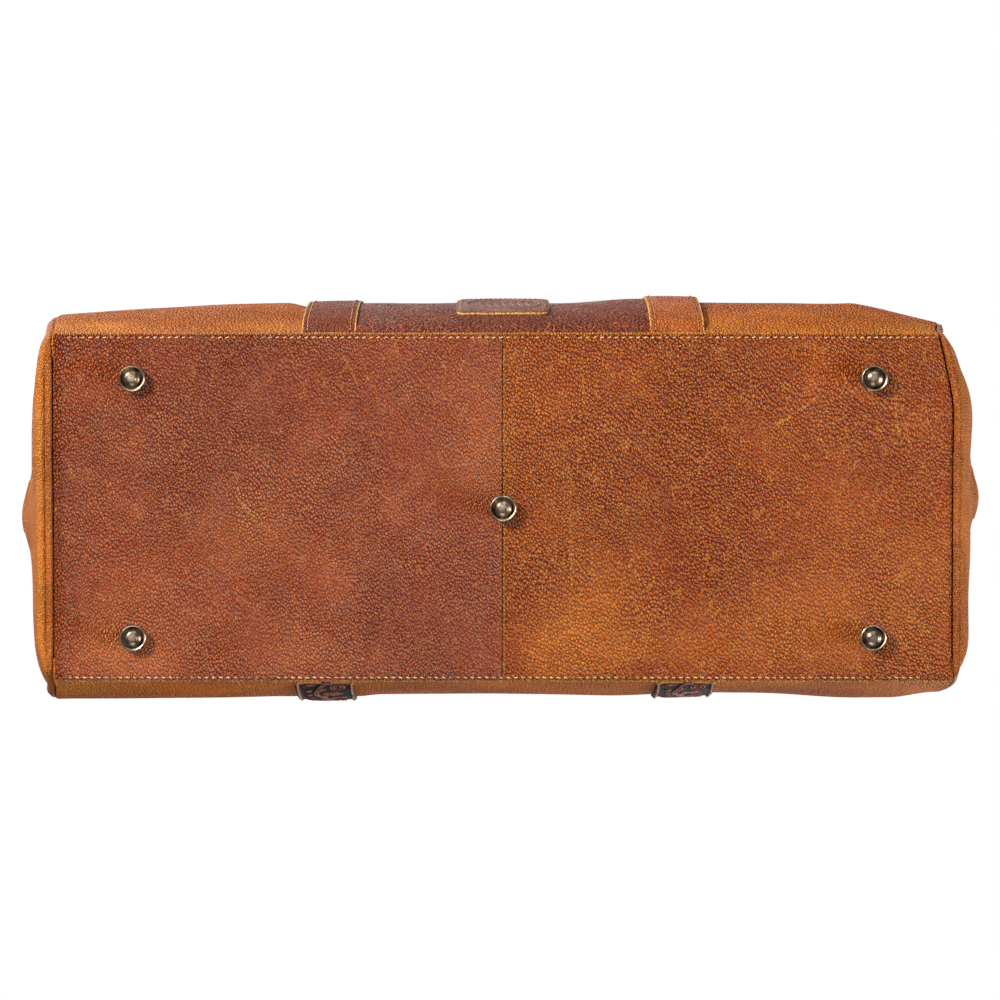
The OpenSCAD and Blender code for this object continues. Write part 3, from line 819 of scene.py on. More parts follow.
HANDLE = leather(
    "handle leather", srgb(122, 54, 24), srgb(172, 86, 34), srgb(204, 114, 46), srgb(214, 128, 58),
    pebble=1.6, pull=0.3, relief=0.4, rough=0.36, painted_pebble_shading=0.3, shine=0.5)
TOOLED = tooled("tooled leather", srgb(20, 11, 12), srgb(126, 62, 48))
THREAD = thread("cream thread", srgb(206, 166, 108), srgb(120, 66, 34))
THREAD_BROWN = thread("brown thread", srgb(178, 120, 66), srgb(92, 50, 28))
BRASS = brass("old brass", srgb(70, 60, 50), srgb(172, 156, 128))
BRASS_DARK = brass("dark brass", srgb(78, 60, 48), srgb(196, 174, 148))
LINING = cloth("lining cotton", srgb(128, 104, 74), srgb(152, 128, 94))
TAPE = cloth("zipper tape", srgb(62, 42, 28), srgb(80, 56, 38), pitch=0.7, coords="rest")
ROPE = cloth("rope", srgb(196, 178, 140), srgb(214, 198, 164), pitch=1.2)
BOARD = plain("base board", srgb(52, 48, 44), srgb(74, 68, 60), 0.8)
TOOTH = brass("zipper teeth", srgb(110, 92, 62), srgb(196, 168, 112), rough=0.3)


# =====================================================================================
# Camera, lights and floor
# =====================================================================================

FLOOR_HALF = 4000
FLOOR_Z = -0.2


def studio():
    """The camera under the bag, soft lights round it and a floor that doesn't hide it."""
    scene = bpy.context.scene
    elevation = math.radians(-87.3)
    distance = 2200 * MM
    look = Vector((-1.7, -4.4, FOOT_H)) * MM
    data = bpy.data.cameras.new("camera")
    data.lens = 142.6
    data.sensor_width = 36
    data.clip_end = 20
    camera = bpy.data.objects.new("camera", data)
    offset = Vector((0, -math.cos(elevation), math.sin(elevation))) * distance
    camera.location = look + offset
    camera.rotation_euler = (-offset).to_track_quat("-Z", "Y").to_euler()
    scene.collection.objects.link(camera)
    scene.camera = camera

    def area(name, where, power, size, target=(0, 0, 120), gloss=1.0):
        light = bpy.data.lights.new(name, "AREA")
        light.energy = power
        light.shape = "DISK"
        light.size = size * MM
        light.specular_factor = gloss
        obj = bpy.data.objects.new(name, light)
        obj.location = Vector(where) * MM
        obj.rotation_euler = (Vector(target) * MM - obj.location).to_track_quat("-Z", "Y").to_euler()
        scene.collection.objects.link(obj)

    area("below left", (-1250, -950, -1250), 62, 420)
    area("below", (-300, -500, -2600), 13, 1300, gloss=0.25)
    area("below front", (300, -1500, -900), 7, 900, gloss=0.05)
    area("below back", (-200, 1500, -900), 9, 900, gloss=0.05)
    area("below right", (1500, 300, -450), 20, 700, gloss=0.4)
    area("above front", (-900, -1500, 1500), 24, 1200, gloss=0.02)
    area("above back", (900, 1500, 1500), 18, 1200, gloss=0.02)
    area("above", (0, 0, 2000), 14, 1400, gloss=0.1)

    world = bpy.data.worlds.new("studio")
    world.use_nodes = True
    tree = world.node_tree
    back = tree.nodes["Background"]
    path = tree.nodes.new("ShaderNodeLightPath")
    seen = tree.nodes.new("ShaderNodeMapRange")
    seen.inputs["To Min"].default_value = 0.18
    seen.inputs["To Max"].default_value = 1.0
    mirrored = tree.nodes.new("ShaderNodeMapRange")
    mirrored.inputs["To Max"].default_value = 0.10
    tree.links.new(path.outputs["Is Camera Ray"], seen.inputs["Value"])
    tree.links.new(path.outputs["Is Glossy Ray"], mirrored.inputs["Value"])
    tree.links.new(seen.outputs[0], mirrored.inputs["To Min"])
    tree.links.new(mirrored.outputs[0], back.inputs["Strength"])
    back.inputs["Color"].default_value = (1, 1, 1, 1)
    scene.world = world
    scene.view_settings.view_transform = "Standard"
    scene.view_settings.look = "None"

    corners = [(x * FLOOR_HALF, y * FLOOR_HALF, FLOOR_Z) for x, y in ((-1, -1), (1, -1), (1, 1), (-1, 1))]
    floor = mesh_object("floor", corners, [(0, 1, 2, 3)], floor_material())
    floor.visible_shadow = False
    floor.visible_diffuse = False
    floor.visible_glossy = False
    floor.visible_transmission = False


def floor_material():
    """Pale from above, and clear from below, where this bag is looked at from."""
    n = Nodes("floor")
    n.finish((0.86, 0.86, 0.86), 0.9)
    tree = n.tree
    clear = tree.nodes.new("ShaderNodeBsdfTransparent")
    side = tree.nodes.new("ShaderNodeNewGeometry")
    mix = tree.nodes.new("ShaderNodeMixShader")
    tree.links.new(side.outputs["Backfacing"], mix.inputs[0])
    tree.links.new(n.shader.outputs[0], mix.inputs[1])
    tree.links.new(clear.outputs[0], mix.inputs[2])
    tree.links.new(mix.outputs[0], tree.nodes["Material Output"].inputs["Surface"])
    return n.material


studio()


# =====================================================================================
# Bottom
# =====================================================================================

BOTTOM_EDGE = 97.2  # half depth of the bottom leather, whose edge laps over the panels' hems
SEWN_IN = 2.6  # from that edge to the stitches
# Softly lighter (+) and darker (-) places of the bottom, as (x, y, radius, amount)
BOTTOM_TONES = (
    (-140, 5, 26, 0.55), (-170, -55, 45, -0.35), (-230, -20, 30, -0.35), (-60, 60, 42, -0.8), (-20, 80, 35, -0.5),
    (-25, -60, 40, 0.35), (-185, 75, 45, 0.3), (-215, 85, 25, 0.5), (-110, 82, 22, 0.55), (-5, -20, 25, 0.35),
    (45, 55, 45, 0.5), (30, 85, 30, 0.6), (110, 70, 40, 0.3), (120, -60, 40, -0.45), (210, -45, 30, -0.5),
    (165, 65, 40, 0.35), (215, 70, 30, 0.4), (75, -25, 35, -0.25), (160, 0, 45, -0.2), (230, 20, 20, 0.35),
)


def bottom_tone(v):
    """How much lighter or darker the bottom is at a point, from -1 to 1."""
    value = 0.35 * noise.noise(Vector((v[0] * 0.02, v[1] * 0.02, 1.3)))
    for x, y, r, amount in BOTTOM_TONES:
        value += amount * math.exp(-((v[0] - x) ** 2 + (v[1] - y) ** 2) / (r * r))
    value -= 0.5 * smooth(abs(v[1]), 80, 96) * (0.5 + noise.noise(Vector((v[0] * 0.03, 0, 7))))
    value -= 0.45 * smooth(abs(v[0]), 232, 247) * (1 if v[0] < 0 else -0.6)
    return max(-1.0, min(1.0, value))


def bottom_height(x, y):
    """The outer face of the bottom leather. It waves a little, puckers at the corners and rises at its edges."""
    z = FOOT_H
    z += 0.45 * noise.noise(Vector((x * 0.013, y * 0.02, 0.4)))
    corner = smooth(abs(x), 150, 240) * smooth(abs(y), 30, 92)
    ripple = math.sin(0.30 * abs(x) + 0.16 * abs(y) + 2.0 * noise.noise(Vector((x * 0.03, y * 0.03, 2.0))))
    z += 0.30 * corner * ripple * (1.2 if x > 0 and y < 0 else 0.7)
    z += 2.2 * smooth(abs(y), 92.0, BOTTOM_EDGE) ** 2
    z += 2.0 * smooth(abs(x), HALF_LEN - 7, HALF_LEN) ** 2
    z -= 0.4 * smooth(abs(y), 86, 92) * (1 - smooth(abs(y), 92, 95))
    for fx, fy in FEET:
        z += 0.5 * math.exp(-((x - fx) ** 2 + (y - fy) ** 2) / 90.0)
    return z


def bottom_panel(name, side, material):
    """One half of the bottom, which rolls up a little into the seam in the middle."""
    xs = [side * x for x in spread(0.12, HALF_LEN + 0.5, 132)]
    roll = 0.55 if side == RIGHT else 0.9
    rows = []
    for y in spread(-BOTTOM_EDGE, BOTTOM_EDGE, 110):
        heights = [bottom_height(x, y) + roll * (1 - smooth(abs(x), 0.1, 2.6)) ** 1.5 for x in xs]
        rows.append([(Vector((bowed(x, y, FOOT_H + 1), y, z)), Vector((0, 0, -1))) for x, z in zip(xs, heights)])
    obj = leather_piece(name, rows, 1.9, material, edge_round=0.6, extra={
        "tone": bottom_tone,
        "sewn": lambda v: abs(abs(v[1]) - BOTTOM_EDGE + SEWN_IN),
        "edge": lambda v: min(BOTTOM_EDGE - abs(v[1]), abs(v[0]) if side == RIGHT else 9.0),
    })
    return place(obj, "bag", "base_leather", name)


bottom_panel("bottom_panel_left", LEFT, BASE_LEFT)
bottom_panel("bottom_panel_right", RIGHT, BASE_RIGHT)


def bottom_stitches():
    parts = []
    for side in (FRONT, BACK):
        y = side * (BOTTOM_EDGE - SEWN_IN)
        row = [(Vector((x, y, bottom_height(x, y) - 0.1)), Vector((0, 0, -1))) for x in spread(-243, 243, 240)]
        parts += stitch_rows(row, size=0.36, length=2.2, slant=0.28 * side)
    stitches("bottom_stitches", parts, "bag", "base_leather", THREAD)


bottom_stitches()


# =====================================================================================
# Feet and rivets
# =====================================================================================

def turned(profile, centre, axis, rub_at, sides=56):
    """Points, faces and rub of a turned metal piece. rub_at(r, h) says how much its plating is rubbed."""
    verts, faces = lathe(profile, sides, Vector(centre), Vector(axis))
    turn = Vector((0, 0, 1)).rotation_difference(Vector(axis)).to_matrix().inverted()
    rub = []
    for v in verts:
        local = turn @ (v - Vector(centre))
        rub.append(rub_at(math.hypot(local.x, local.y), local.z))
    return verts, faces, rub


# A domed cap in a raised rim, on a neck and a post that goes through the board, as (radius, height)
FOOT_PROFILE = (
    [(0.0, 0.0), (1.4, 0.02), (2.3, 0.12)]
    + [(5.0 * math.sin(a), 3.1 * (1 - math.cos(a))) for a in spread(0.55, 1.5, 9)]
    + [(5.05, 3.5), (5.35, 3.75), (5.7, 3.5), (6.2, 2.95), (6.75, 2.75), (7.25, 3.05), (7.5, 3.7), (7.35, 4.4),
       (6.7, 4.95), (5.7, 5.2), (5.3, 5.6), (5.2, 8.2), (5.4, 9.1), (1.2, 9.3), (1.2, 13.7), (0.0, 13.7)]
)


def foot_rub(r, h):
    """Rubbed on the rim and the crown, dirty in the groove between them."""
    rim = math.exp(-((r - 6.9) / 0.5) ** 2) * (1 if h < 4 else 0.3)
    crown = math.exp(-(r / 3.2) ** 2) * (1 if h < 3 else 0)
    dirt = math.exp(-((r - 5.3) / 0.35) ** 2)
    return max(0.0, 0.9 * rim + 0.45 * crown - 0.6 * dirt)


FOOT_NAMES = ("foot_front_left", "foot_back_left", "foot_front_right", "foot_back_right", "foot_centre")


def feet():
    for name, (x, y) in zip(FOOT_NAMES, FEET):
        verts, faces, rub = turned(FOOT_PROFILE, (x, y, 0), (0, 0, 1), foot_rub)
        prong = [Vector((x + px, y + py, z)) for z in (13.75, 14.3) for py in (-1.2, 1.2) for px in (-5, 5)]
        box = [(0, 1, 3, 2), (4, 6, 7, 5), (0, 4, 5, 1), (2, 3, 7, 6), (0, 2, 6, 4), (1, 5, 7, 3)]
        rub += [0.2] * 8
        verts, faces = joined([(verts, faces), (prong, box)])
        obj = outward(mesh_object(name, verts, faces, BRASS_DARK, attributes={"rub": rub}))
        place(obj, "bag", "old_brass", name)


feet()


def paint(node, material):
    """Gives a kept CAD node its material."""
    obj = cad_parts[node]
    obj.data.materials.clear()
    obj.data.materials.append(material)


paint("base_board", BOARD)
paint("foot_washers", BRASS_DARK)

RIVET_AT = (0.73, 0.78)
# A domed head outside, a post, and a burr inside, as (radius, height)
RIVET_PROFILE = (
    [(0.0, 2.1)] + [(4.6 * math.sin(a), 0.3 + 1.8 * math.cos(a)) for a in spread(0.2, 1.45, 9)]
    + [(4.65, 0.1), (4.2, -0.2), (1.4, -0.3), (1.4, -6.2), (4.0, -6.3), (3.6, -7.1), (0.0, -7.2)]
)


def rivet_rub(r, h):
    return 0.8 * math.exp(-(r / 2.8) ** 2) * (h > 0)


def rivets():
    parts, rub = [], []
    for side, strap_x in ((FRONT, FRONT_STRAP_X), (BACK, BACK_STRAP_X)):
        for x in (-strap_x, strap_x):
            for s in RIVET_AT:
                p, normal = skin(x, s, side, GAP + STRAP_T)
                verts, faces, rubbed = turned(RIVET_PROFILE, p, normal, rivet_rub, sides=32)
                parts.append((verts, faces))
                rub += rubbed
    verts, faces = joined(parts)
    obj = outward(mesh_object("strap_rivets", verts, faces, BRASS, attributes={"rub": rub}))
    place(obj, "bag", "old_brass", "strap_rivets")


rivets()


# =====================================================================================
# Front and back panels, pocket and patch
# =====================================================================================

def wall_tone_and_painted_light(v):
    """A random drift with painted light and shade over it: lighter low on the panel, where it faces the lamps below
    the bag, darker higher up, where it turns away from them, and lighter towards its ends.
    """
    value = 0.5 * noise.noise(Vector((v[0] * 0.012, v[1] * 0.02, v[2] * 0.02)))
    # Painted light low on the panel, and painted shade higher up where it turns away from the lamps.
    value += 0.55 * (1 - smooth(v[2], 14, 60))
    value += 0.4 * smooth(abs(v[0]), 190, 245)
    value -= 0.35 * smooth(v[2], 60, 120)
    return max(-1.0, min(1.0, value))


PANEL_XS = spread(-HALF_LEN, HALF_LEN, 190)


def wall_piece(name, side):
    """The front or back panel, a little longer than the CAD's to reach the piping, with its hem turned in."""
    xs = [x * 1.005 for x in PANEL_XS]
    rows = panel_rows(side, xs, spread(1.0, 0.0, 100), 0.0)
    y0, z0 = side_points(0, side)[0]
    for y, z, ny, nz in ((y0 - 2.2, z0 - 1.9, 0.7, -0.7), (y0 - 7, z0 - 2.6, 0, -1), (y0 - 13, z0 - 2.6, 0, -1)):
        normal = Vector((0, side * ny, nz)).normalized()
        rows.append([(Vector((bowed(x, side * SEAM_Y, z), side * y, z)), normal) for x in xs])
    obj = leather_piece(name, rows, LEATHER_T - 0.1, TAN, extra={"tone": wall_tone_and_painted_light})
    return place(obj, "bag", "body_leather", name)


wall_piece("front_panel", FRONT)
wall_piece("back_panel", BACK)

POCKET_X = FRONT_STRAP_X - STRAP_W / 2 + 1.0
POCKET_TOP = 0.67
POCKET_T = 1.5


def tucked(s, off, tuck=0.05):
    """Distance off the wall of a layer whose lower end is caught in the bottom seam."""
    return 0.3 + (off - 0.3) * smooth(s, 0.0, tuck)


def pocket_off(x, s):
    """Distance of the pocket's outer face off the wall. It swells a little in its middle."""
    swell = 0.9 * math.cos(math.pi * x / (2 * POCKET_X)) * math.sin(math.pi * s / POCKET_TOP) ** 0.6
    return tucked(s, GAP + POCKET_T + 0.3) + swell


def pocket():
    xs = spread(-POCKET_X, POCKET_X, 80)
    rows = panel_rows(FRONT, xs, spread(POCKET_TOP, 0.004, 90), pocket_off)
    obj = leather_piece("front_pocket", rows, POCKET_T, POCKET)
    place(obj, "bag", "pocket_leather", "front_pocket")
    lines = []
    for below in (0.018, 0.05):
        s = POCKET_TOP - below
        lines += stitch_rows([skin(x, s, FRONT, pocket_off(x, s) + 0.05) for x in xs])
    stitches("pocket_stitches", lines, "bag", "pocket_leather", THREAD_BROWN)


pocket()

PATCH_S = 0.21
PATCH_HALF_W = 26.0
PATCH_HALF_H = 16.0
PATCH_TILT = 1.1  # how far its middle is lifted, and its top twice as far
PATCH_SEWN = 2.0  # from its edge to the stitches


def rounded_span(v, half_w, half_h, r):
    """Half width at height v of a rectangle with round corners."""
    over = abs(v) - (half_h - r)
    if over <= 0:
        return half_w
    return half_w - r + math.sqrt(max(r * r - over * over, 0.0))


def leaf_relief(u, v):
    """A generic sprig of leaves inside an oval line, as a height of 0..1."""
    oval = abs(math.hypot(u / 21.0, v / 11.5) - 1.0) * 12
    height = math.exp(-(oval / 0.55) ** 2)
    stem = abs(v - 1.2 * math.sin(u * 0.16))
    if abs(u) < 15:
        height = max(height, math.exp(-(stem / 0.5) ** 2))
    for k in range(-3, 4):
        for up in (-1, 1):
            cu, cv = k * 4.4 + 1.5, up * 3.4 + 1.2 * math.sin(k * 0.7)
            du, dv = u - cu, v - cv
            turn = math.radians(52 * up)
            a = du * math.cos(turn) + dv * math.sin(turn)
            b = -du * math.sin(turn) + dv * math.cos(turn)
            height = max(height, smooth(1.0 - math.hypot(a / 3.4, b / 1.3), 0.0, 0.35))
    return height


def patch():
    """A worn leather label with ragged edges, lifted off the pocket at its top."""
    rng = random.Random(7)
    rows = []
    ragged = [rng.uniform(-0.35, 0.35) for _ in range(400)]
    for i, v in enumerate(spread(PATCH_HALF_H, -PATCH_HALF_H, 76)):
        row = []
        wide = rounded_span(v, PATCH_HALF_W, PATCH_HALF_H, 4.0) + ragged[i] * 0.6
        for j, f in enumerate(spread(-1, 1, 110)):
            u = wide * f
            fray = ragged[100 + j] if abs(v) > PATCH_HALF_H - 0.6 else 0.0
            s = PATCH_S + (v + fray) / SIDE_RUN
            lift = pocket_off(u, s) + 1.9 + 0.45 * leaf_relief(u, v)
            lift -= 0.5 * smooth(max(abs(v) / PATCH_HALF_H, abs(f)), 0.9, 1.0)
            lift += PATCH_TILT * (1 + v / PATCH_HALF_H)
            row.append(skin(u, s, FRONT, lift))
        rows.append(row)
    obj = leather_piece("pocket_patch", rows, 1.6, PATCH, edge_round=0)
    place(obj, "bag", "patch_leather", "pocket_patch")
    border = []
    for a in spread(0, 2 * math.pi, 160):
        across, up = squircle(a, 0.35)
        u, v = (PATCH_HALF_W - PATCH_SEWN) * across, (PATCH_HALF_H - PATCH_SEWN) * up
        s = PATCH_S + v / SIDE_RUN
        border.append(skin(u, s, FRONT, pocket_off(u, s) + 1.95 + PATCH_TILT * (1 + v / PATCH_HALF_H)))
    stitches("patch_stitches", stitch_rows(border, pitch=2.8, size=0.28, length=2.0), "bag", "patch_leather",
             THREAD_BROWN)


patch()


# =====================================================================================
# Straps
# =====================================================================================

LOOP_AT = 0.85
LOOP_IN = WIRE_R + 0.3
LOOP_OUT = LOOP_IN + STRAP_T / 2
STRAP_START = 0.004  # in s, as are the next two
STRAP_END = LOOP_AT - 0.012
STRAP_TUCK = 0.07
STRAP_STEPS = 210


def loop_centre(x, side):
    """Middle of the loop in a strap's top, and the wall's normal there."""
    points = side_points(0, side)
    y, z = bezier(points, LOOP_AT)
    dy, dz = bezier_dir(points, LOOP_AT)
    off = GAP + LOOP_OUT
    return Vector((x, side * (y + off * dz), z - off * dy)), Vector((0, side * dz, -dy))


def drift(s, lean):
    """How far a leaning strap is off its loop's middle at s."""
    return lean * (1 - smooth(s, 0.1, 0.75))


def strap_rows(x, side, width, count, wall_off, height=None, lean=0.0):
    """The outer face of a strap: up the wall, round the ring's bar, and a little down behind it.

    lean is how far its lower end is sewn in off the middle of the ring.
    """
    xs = spread(x - width / 2, x + width / 2, count)
    rows = []
    for s in spread(STRAP_START, STRAP_END, STRAP_STEPS):
        row = []
        for px in xs:
            lift = tucked(s, wall_off, STRAP_TUCK)
            crown = 0.35 * (1 - (2 * (px - x) / width) ** 2)
            rise = height(px - x, s * SIDE_RUN) if height else 0.0
            row.append(skin(px + drift(s, lean), s, side, lift + crown + rise))
        rows.append(row)
    centre, _ = loop_centre(x, side)
    last, _ = skin(x, STRAP_END, side, wall_off)
    start = math.atan2(last.z - centre.z, side * (last.y - centre.y))
    start = min(max(start, -1.2), 0.0)
    for a in spread(start + 0.25, math.pi - 0.1, 22):
        d = Vector((0, side * math.cos(a), math.sin(a)))
        rows.append([(Vector((px, centre.y, centre.z)) + LOOP_OUT * d, d) for px in xs])
    return rows


STITCH_S = spread(0.012, LOOP_AT - 0.02, 120)
STRAP_SEWN = 3.0  # from a plain strap's edge to its stitches


def front_strap(name, x, material):
    """A plain strap of two layers, sewn along both edges."""
    rows = strap_rows(x, FRONT, STRAP_W, 22, GAP + STRAP_T)
    obj = leather_piece(name, rows, 1.6, material, edge_round=0.4, extra={
        "sewn": lambda v: abs(abs(v[0] - x) - STRAP_W / 2 + STRAP_SEWN),
        "edge": lambda v: STRAP_W / 2 - abs(v[0] - x) + 0.4,
    })
    place(obj, "bag", "body_leather", name)
    under = panel_rows(FRONT, spread(x - STRAP_W / 2 + 0.3, x + STRAP_W / 2 - 0.3, 8), spread(0.83, 0.01, 90),
                       lambda px, s: tucked(s, GAP + 1.5))
    place(leather_piece(name + "_under", under, 1.3, material, edge_round=0.3), "bag", "body_leather")
    lines = []
    for edge in (-1, 1):
        px = x + edge * (STRAP_W / 2 - STRAP_SEWN)
        line = [skin(px, s, FRONT, tucked(s, GAP + STRAP_T, STRAP_TUCK) + 0.25) for s in STITCH_S]
        lines += stitch_rows(line, slant=0.1 * edge, size=0.36)
    stitches(name + "_stitches", lines, "bag", "body_leather", THREAD_BROWN)


front_strap("strap_front_left", -FRONT_STRAP_X, STRAP_DARK)
front_strap("strap_front_right", FRONT_STRAP_X, STRAP_RIGHT)

TOOLED_W = 33.0
UNIT = 46.0  # length of one scroll of the carving, in mm


def carving(u, v):
    """Height of 0..1 of scrolls, rosettes and leaves between two plain borders, u across and v along."""
    edge = TOOLED_W / 2 - abs(u)
    border = smooth(edge, 2.7, 3.1)
    if border <= 0:
        return 0.85 * smooth(edge, 0.2, 0.8) * (1 - smooth(edge, 2.1, 2.5))
    k = math.floor(v / UNIT)
    f = v - (k + 0.5) * UNIT
    flip = 1 if k % 2 == 0 else -1
    x, y = u * flip, f
    height = 0.0
    # The stem winds from side to side
    stem = 7.5 * math.cos(math.pi * f / UNIT)
    d = abs(x + stem - 2.0) / math.hypot(1, 7.5 * math.pi / UNIT)
    height = max(height, smooth(d, 1.5, 0.9) * (1 - 0.7 * smooth(d, 0.45, 0.1)))
    # A rosette in the bend
    rx, ry = x - 3.6, y
    r, a = math.hypot(rx, ry), math.atan2(ry, rx)
    petals = 6.4 * (0.72 + 0.28 * abs(math.cos(2.5 * a)))
    if r < petals + 0.6:
        bloom = smooth(petals - r, 0.0, 0.5)
        veins = 0.45 * smooth(abs(math.sin(2.5 * a)) * r, 0.7, 0.1) * smooth(r, 1.8, 2.6)
        eye = smooth(r, 2.0, 1.6) - 0.6 * smooth(r, 1.5, 1.1) * smooth(r, 0.5, 0.9)
        height = max(height, bloom * (0.95 - veins - 0.5 * smooth(abs(r - 2.2), 0.4, 0.1)), eye)
    # A curled tendril above and below it
    for up in (-1, 1):
        cx, cy = 7.4, up * 14.5
        qx, qy = x - cx, (y - cy) * up
        r, a = math.hypot(qx, qy), math.atan2(qy, qx)
        turns = (4.4 - r) / 1.9 - a / (2 * math.pi)
        coil = abs((turns % 1.0) - 0.5) * 1.9
        if r < 4.9:
            height = max(height, smooth(coil, 0.75, 0.4) * smooth(5.0 - r, 0.0, 0.5))
        # Leaves off the stem
        for lx, ly, tilt, length in ((-2.0, 9.5, 0.9, 4.6), (1.8, 19.5, -0.5, 4.2), (-8.2, 17.0, 0.2, 4.4),
                                     (-9.4, 6.5, 1.5, 3.6)):
            px, py = x - lx, y * up - ly
            c, s = math.cos(tilt), math.sin(tilt)
            p, q = px * c + py * s, -px * s + py * c
            w = 1.9 * (1 - (p / length) ** 2) if abs(p) < length else 0
            if w > 0:
                height = max(height, smooth(w - abs(q), 0.0, 0.5) * (1 - 0.55 * smooth(abs(q), 0.4, 0.1)))
    return height * border


def carved_in(u, v):
    """How far the carving's ground lies below its raised parts, as a height of 0 or less."""
    return 0.72 * (carving(u, v) - 1.0)


def tooled_strap(name, x, lean):
    """A carved strap. Its part round the ring's bar is plain."""
    wall_off = GAP + 2.1
    columns = 84
    rows = strap_rows(x, BACK, TOOLED_W, columns, wall_off, carved_in, lean)
    verts, faces, attributes = hide_grid(rows, 1.6)
    carved = []
    for s in spread(STRAP_START, STRAP_END, STRAP_STEPS):
        carved += [carving(u, s * SIDE_RUN) for u in spread(-TOOLED_W / 2, TOOLED_W / 2, columns)]
    carved += [0.4] * (columns * len(rows) - len(carved))
    attributes["carved"] = carved + [0.0] * len(carved)
    obj = outward(mesh_object(name, verts, faces, TOOLED, attributes=attributes))
    place(obj, "bag", "tooled_leather", name)
    across = spread(x - TOOLED_W / 2 + 0.2, x + TOOLED_W / 2 - 0.2, 8)
    under = [[skin(px + drift(s, lean), s, BACK, tucked(s, GAP + 0.4)) for px in across]
             for s in spread(0.83, 0.01, 90)]
    place(leather_piece(name + "_under", under, 0.4, STRAP_DARK, edge_round=0.3), "bag", "tooled_leather")
    lines = []
    for edge in (-1, 1):
        px = x + edge * (TOOLED_W / 2 - 1.4)
        line = [skin(px + drift(s, lean), s, BACK, tucked(s, wall_off, STRAP_TUCK) + 0.12) for s in STITCH_S]
        lines += stitch_rows(line, size=0.3, length=2.4)
    stitches(name + "_stitches", lines, "bag", "tooled_leather", THREAD)


tooled_strap("strap_back_left", -BACK_STRAP_X, 4.0)
tooled_strap("strap_back_right", BACK_STRAP_X, -2.0)


# =====================================================================================
# Ends: piping, end panels, end straps and D-rings
# =====================================================================================

def half_outline(x, off, side, count=70):
    """One side's outline as (y, z, ny, nz), from the bottom's middle to the zipper."""
    result = []
    for y in spread(0, 84, 16):
        result.append((side * y, FOOT_H - off, 0, -1))
    for a in spread(0.15, 1.0, 6):
        angle = math.radians(-90 + 78 * a)
        ny, nz = math.cos(angle), math.sin(angle)
        result.append((side * (88 + (8 + off) * ny), FOOT_H + 8 + (8 + off) * nz, side * ny, nz))
    for points, n in ((side_points(x, side), count), (top_points(x, side), count // 2)):
        for t in spread(0.04, 1.0, n):
            y, z = bezier(points, t)
            dy, dz = bezier_dir(points, t)
            result.append((side * (y + off * dz), z - off * dy, side * dz, -dy))
    return result


def outline(x, off):
    """The whole section as a loop, from the bottom's middle round by the back."""
    return half_outline(x, off, BACK) + list(reversed(half_outline(x, off, FRONT)[1:]))


def bead(name, end, reach, inset, radius, material):
    """A round band that follows the section at the end, reach outside the seam and inset from the skin.

    At the bottom's corners it draws in to the seam.
    """
    path, radii = [], []
    for y, z, _, _ in outline(end * HALF_LEN, -inset):
        drawn = smooth(abs(y), 72, 96) * (1 - smooth(z, 110, 230))
        out = bow(end, y, z) + 0.25 * noise.noise(Vector((y * 0.05, z * 0.05, end)))
        path.append(Vector((end * (PIPING_X + reach * (1 - 0.85 * drawn) + out), y, z)))
        radii.append(radius - 0.5 * drawn)
    verts, faces = tube(path, lambda f: radii[round(f * (len(radii) - 1))], sides=16, closed=True,
                        up=Vector((1, 0, 0)))
    return outward(mesh_object(name, verts, faces, material))


def piping(name, end):
    """The dark bead in the end seam, and the lighter band beside it, which is wider on the left."""
    place(bead(name, end, 0.0, PIPING_R - 0.4, 2.1, PIPE_DARK), "bag", "body_leather", name)
    reach, radius = (4.6, 2.9) if end == LEFT else (1.4, 2.2)
    place(bead(name + "_flange", end, reach, PIPING_R + 1.4, radius, PIPE), "bag", "body_leather")


piping("piping_left", LEFT)
piping("piping_right", RIGHT)

END_MID_Z = 118.0  # the height that the end panels' outlines are measured from
END_SEAM_X = 251.6


class EndShape:
    """The soft end panel: a dome over the section that rises fast at the seam and is fullest low and in front."""

    def __init__(self, end):
        self.end = end
        self.rim = [(y, z) for y, z, _, _ in outline(end * HALF_LEN, -2 * PIPING_R - 0.3)]
        self.angles = [math.atan2(y, z - END_MID_Z) for y, z in self.rim]
        self.radii = [math.hypot(y, z - END_MID_Z) for y, z in self.rim]
        order = sorted(range(len(self.rim)), key=lambda i: self.angles[i])
        self.table = [(self.angles[i], self.radii[i]) for i in order]

    def reach(self, angle):
        """Distance from the middle to the seam in the direction of the angle."""
        table = self.table
        for (a0, r0), (a1, r1) in zip(table, table[1:]):
            if a0 <= angle <= a1:
                return r0 + (r1 - r0) * (angle - a0) / max(a1 - a0, 1e-9)
        return table[0][1]

    def x(self, y, z):
        """How far out the panel lies at y and z."""
        r = math.hypot(y, z - END_MID_Z)
        rho = min(r / self.reach(math.atan2(y, z - END_MID_Z)), 1.0)
        back = smooth(y, -85, 85)
        out = bow(self.end, y, z)
        quick = 7.0 * (1 - rho ** (14 if self.end < 0 or y > 0 else 6))
        if self.end > 0:
            slow = (8.0 - 1.5 * back) * (1 - rho ** 1.6)
            ridge = 6.8 * math.exp(-((y + 1) / 20) ** 2)
        else:
            slow = 6.0 * (1 - rho ** 1.2)
            ridge = 6.6 * math.exp(-((y - 10) / 22) ** 2)
        ridge *= smooth(z, 60, 112) * (1 - smooth(z, 240, 272))
        soft = 1.0 * noise.noise(Vector((y * 0.016, z * 0.012, 5.0 * self.end))) * (1 - rho ** 4)
        crease = math.sin(0.10 * y + 3 * noise.noise(Vector((0.03 * y, z * 0.02, self.end))))
        return END_SEAM_X + out + quick + slow + ridge + soft + 0.35 * crease * (1 - rho ** 6)


ENDS = {LEFT: EndShape(LEFT), RIGHT: EndShape(RIGHT)}


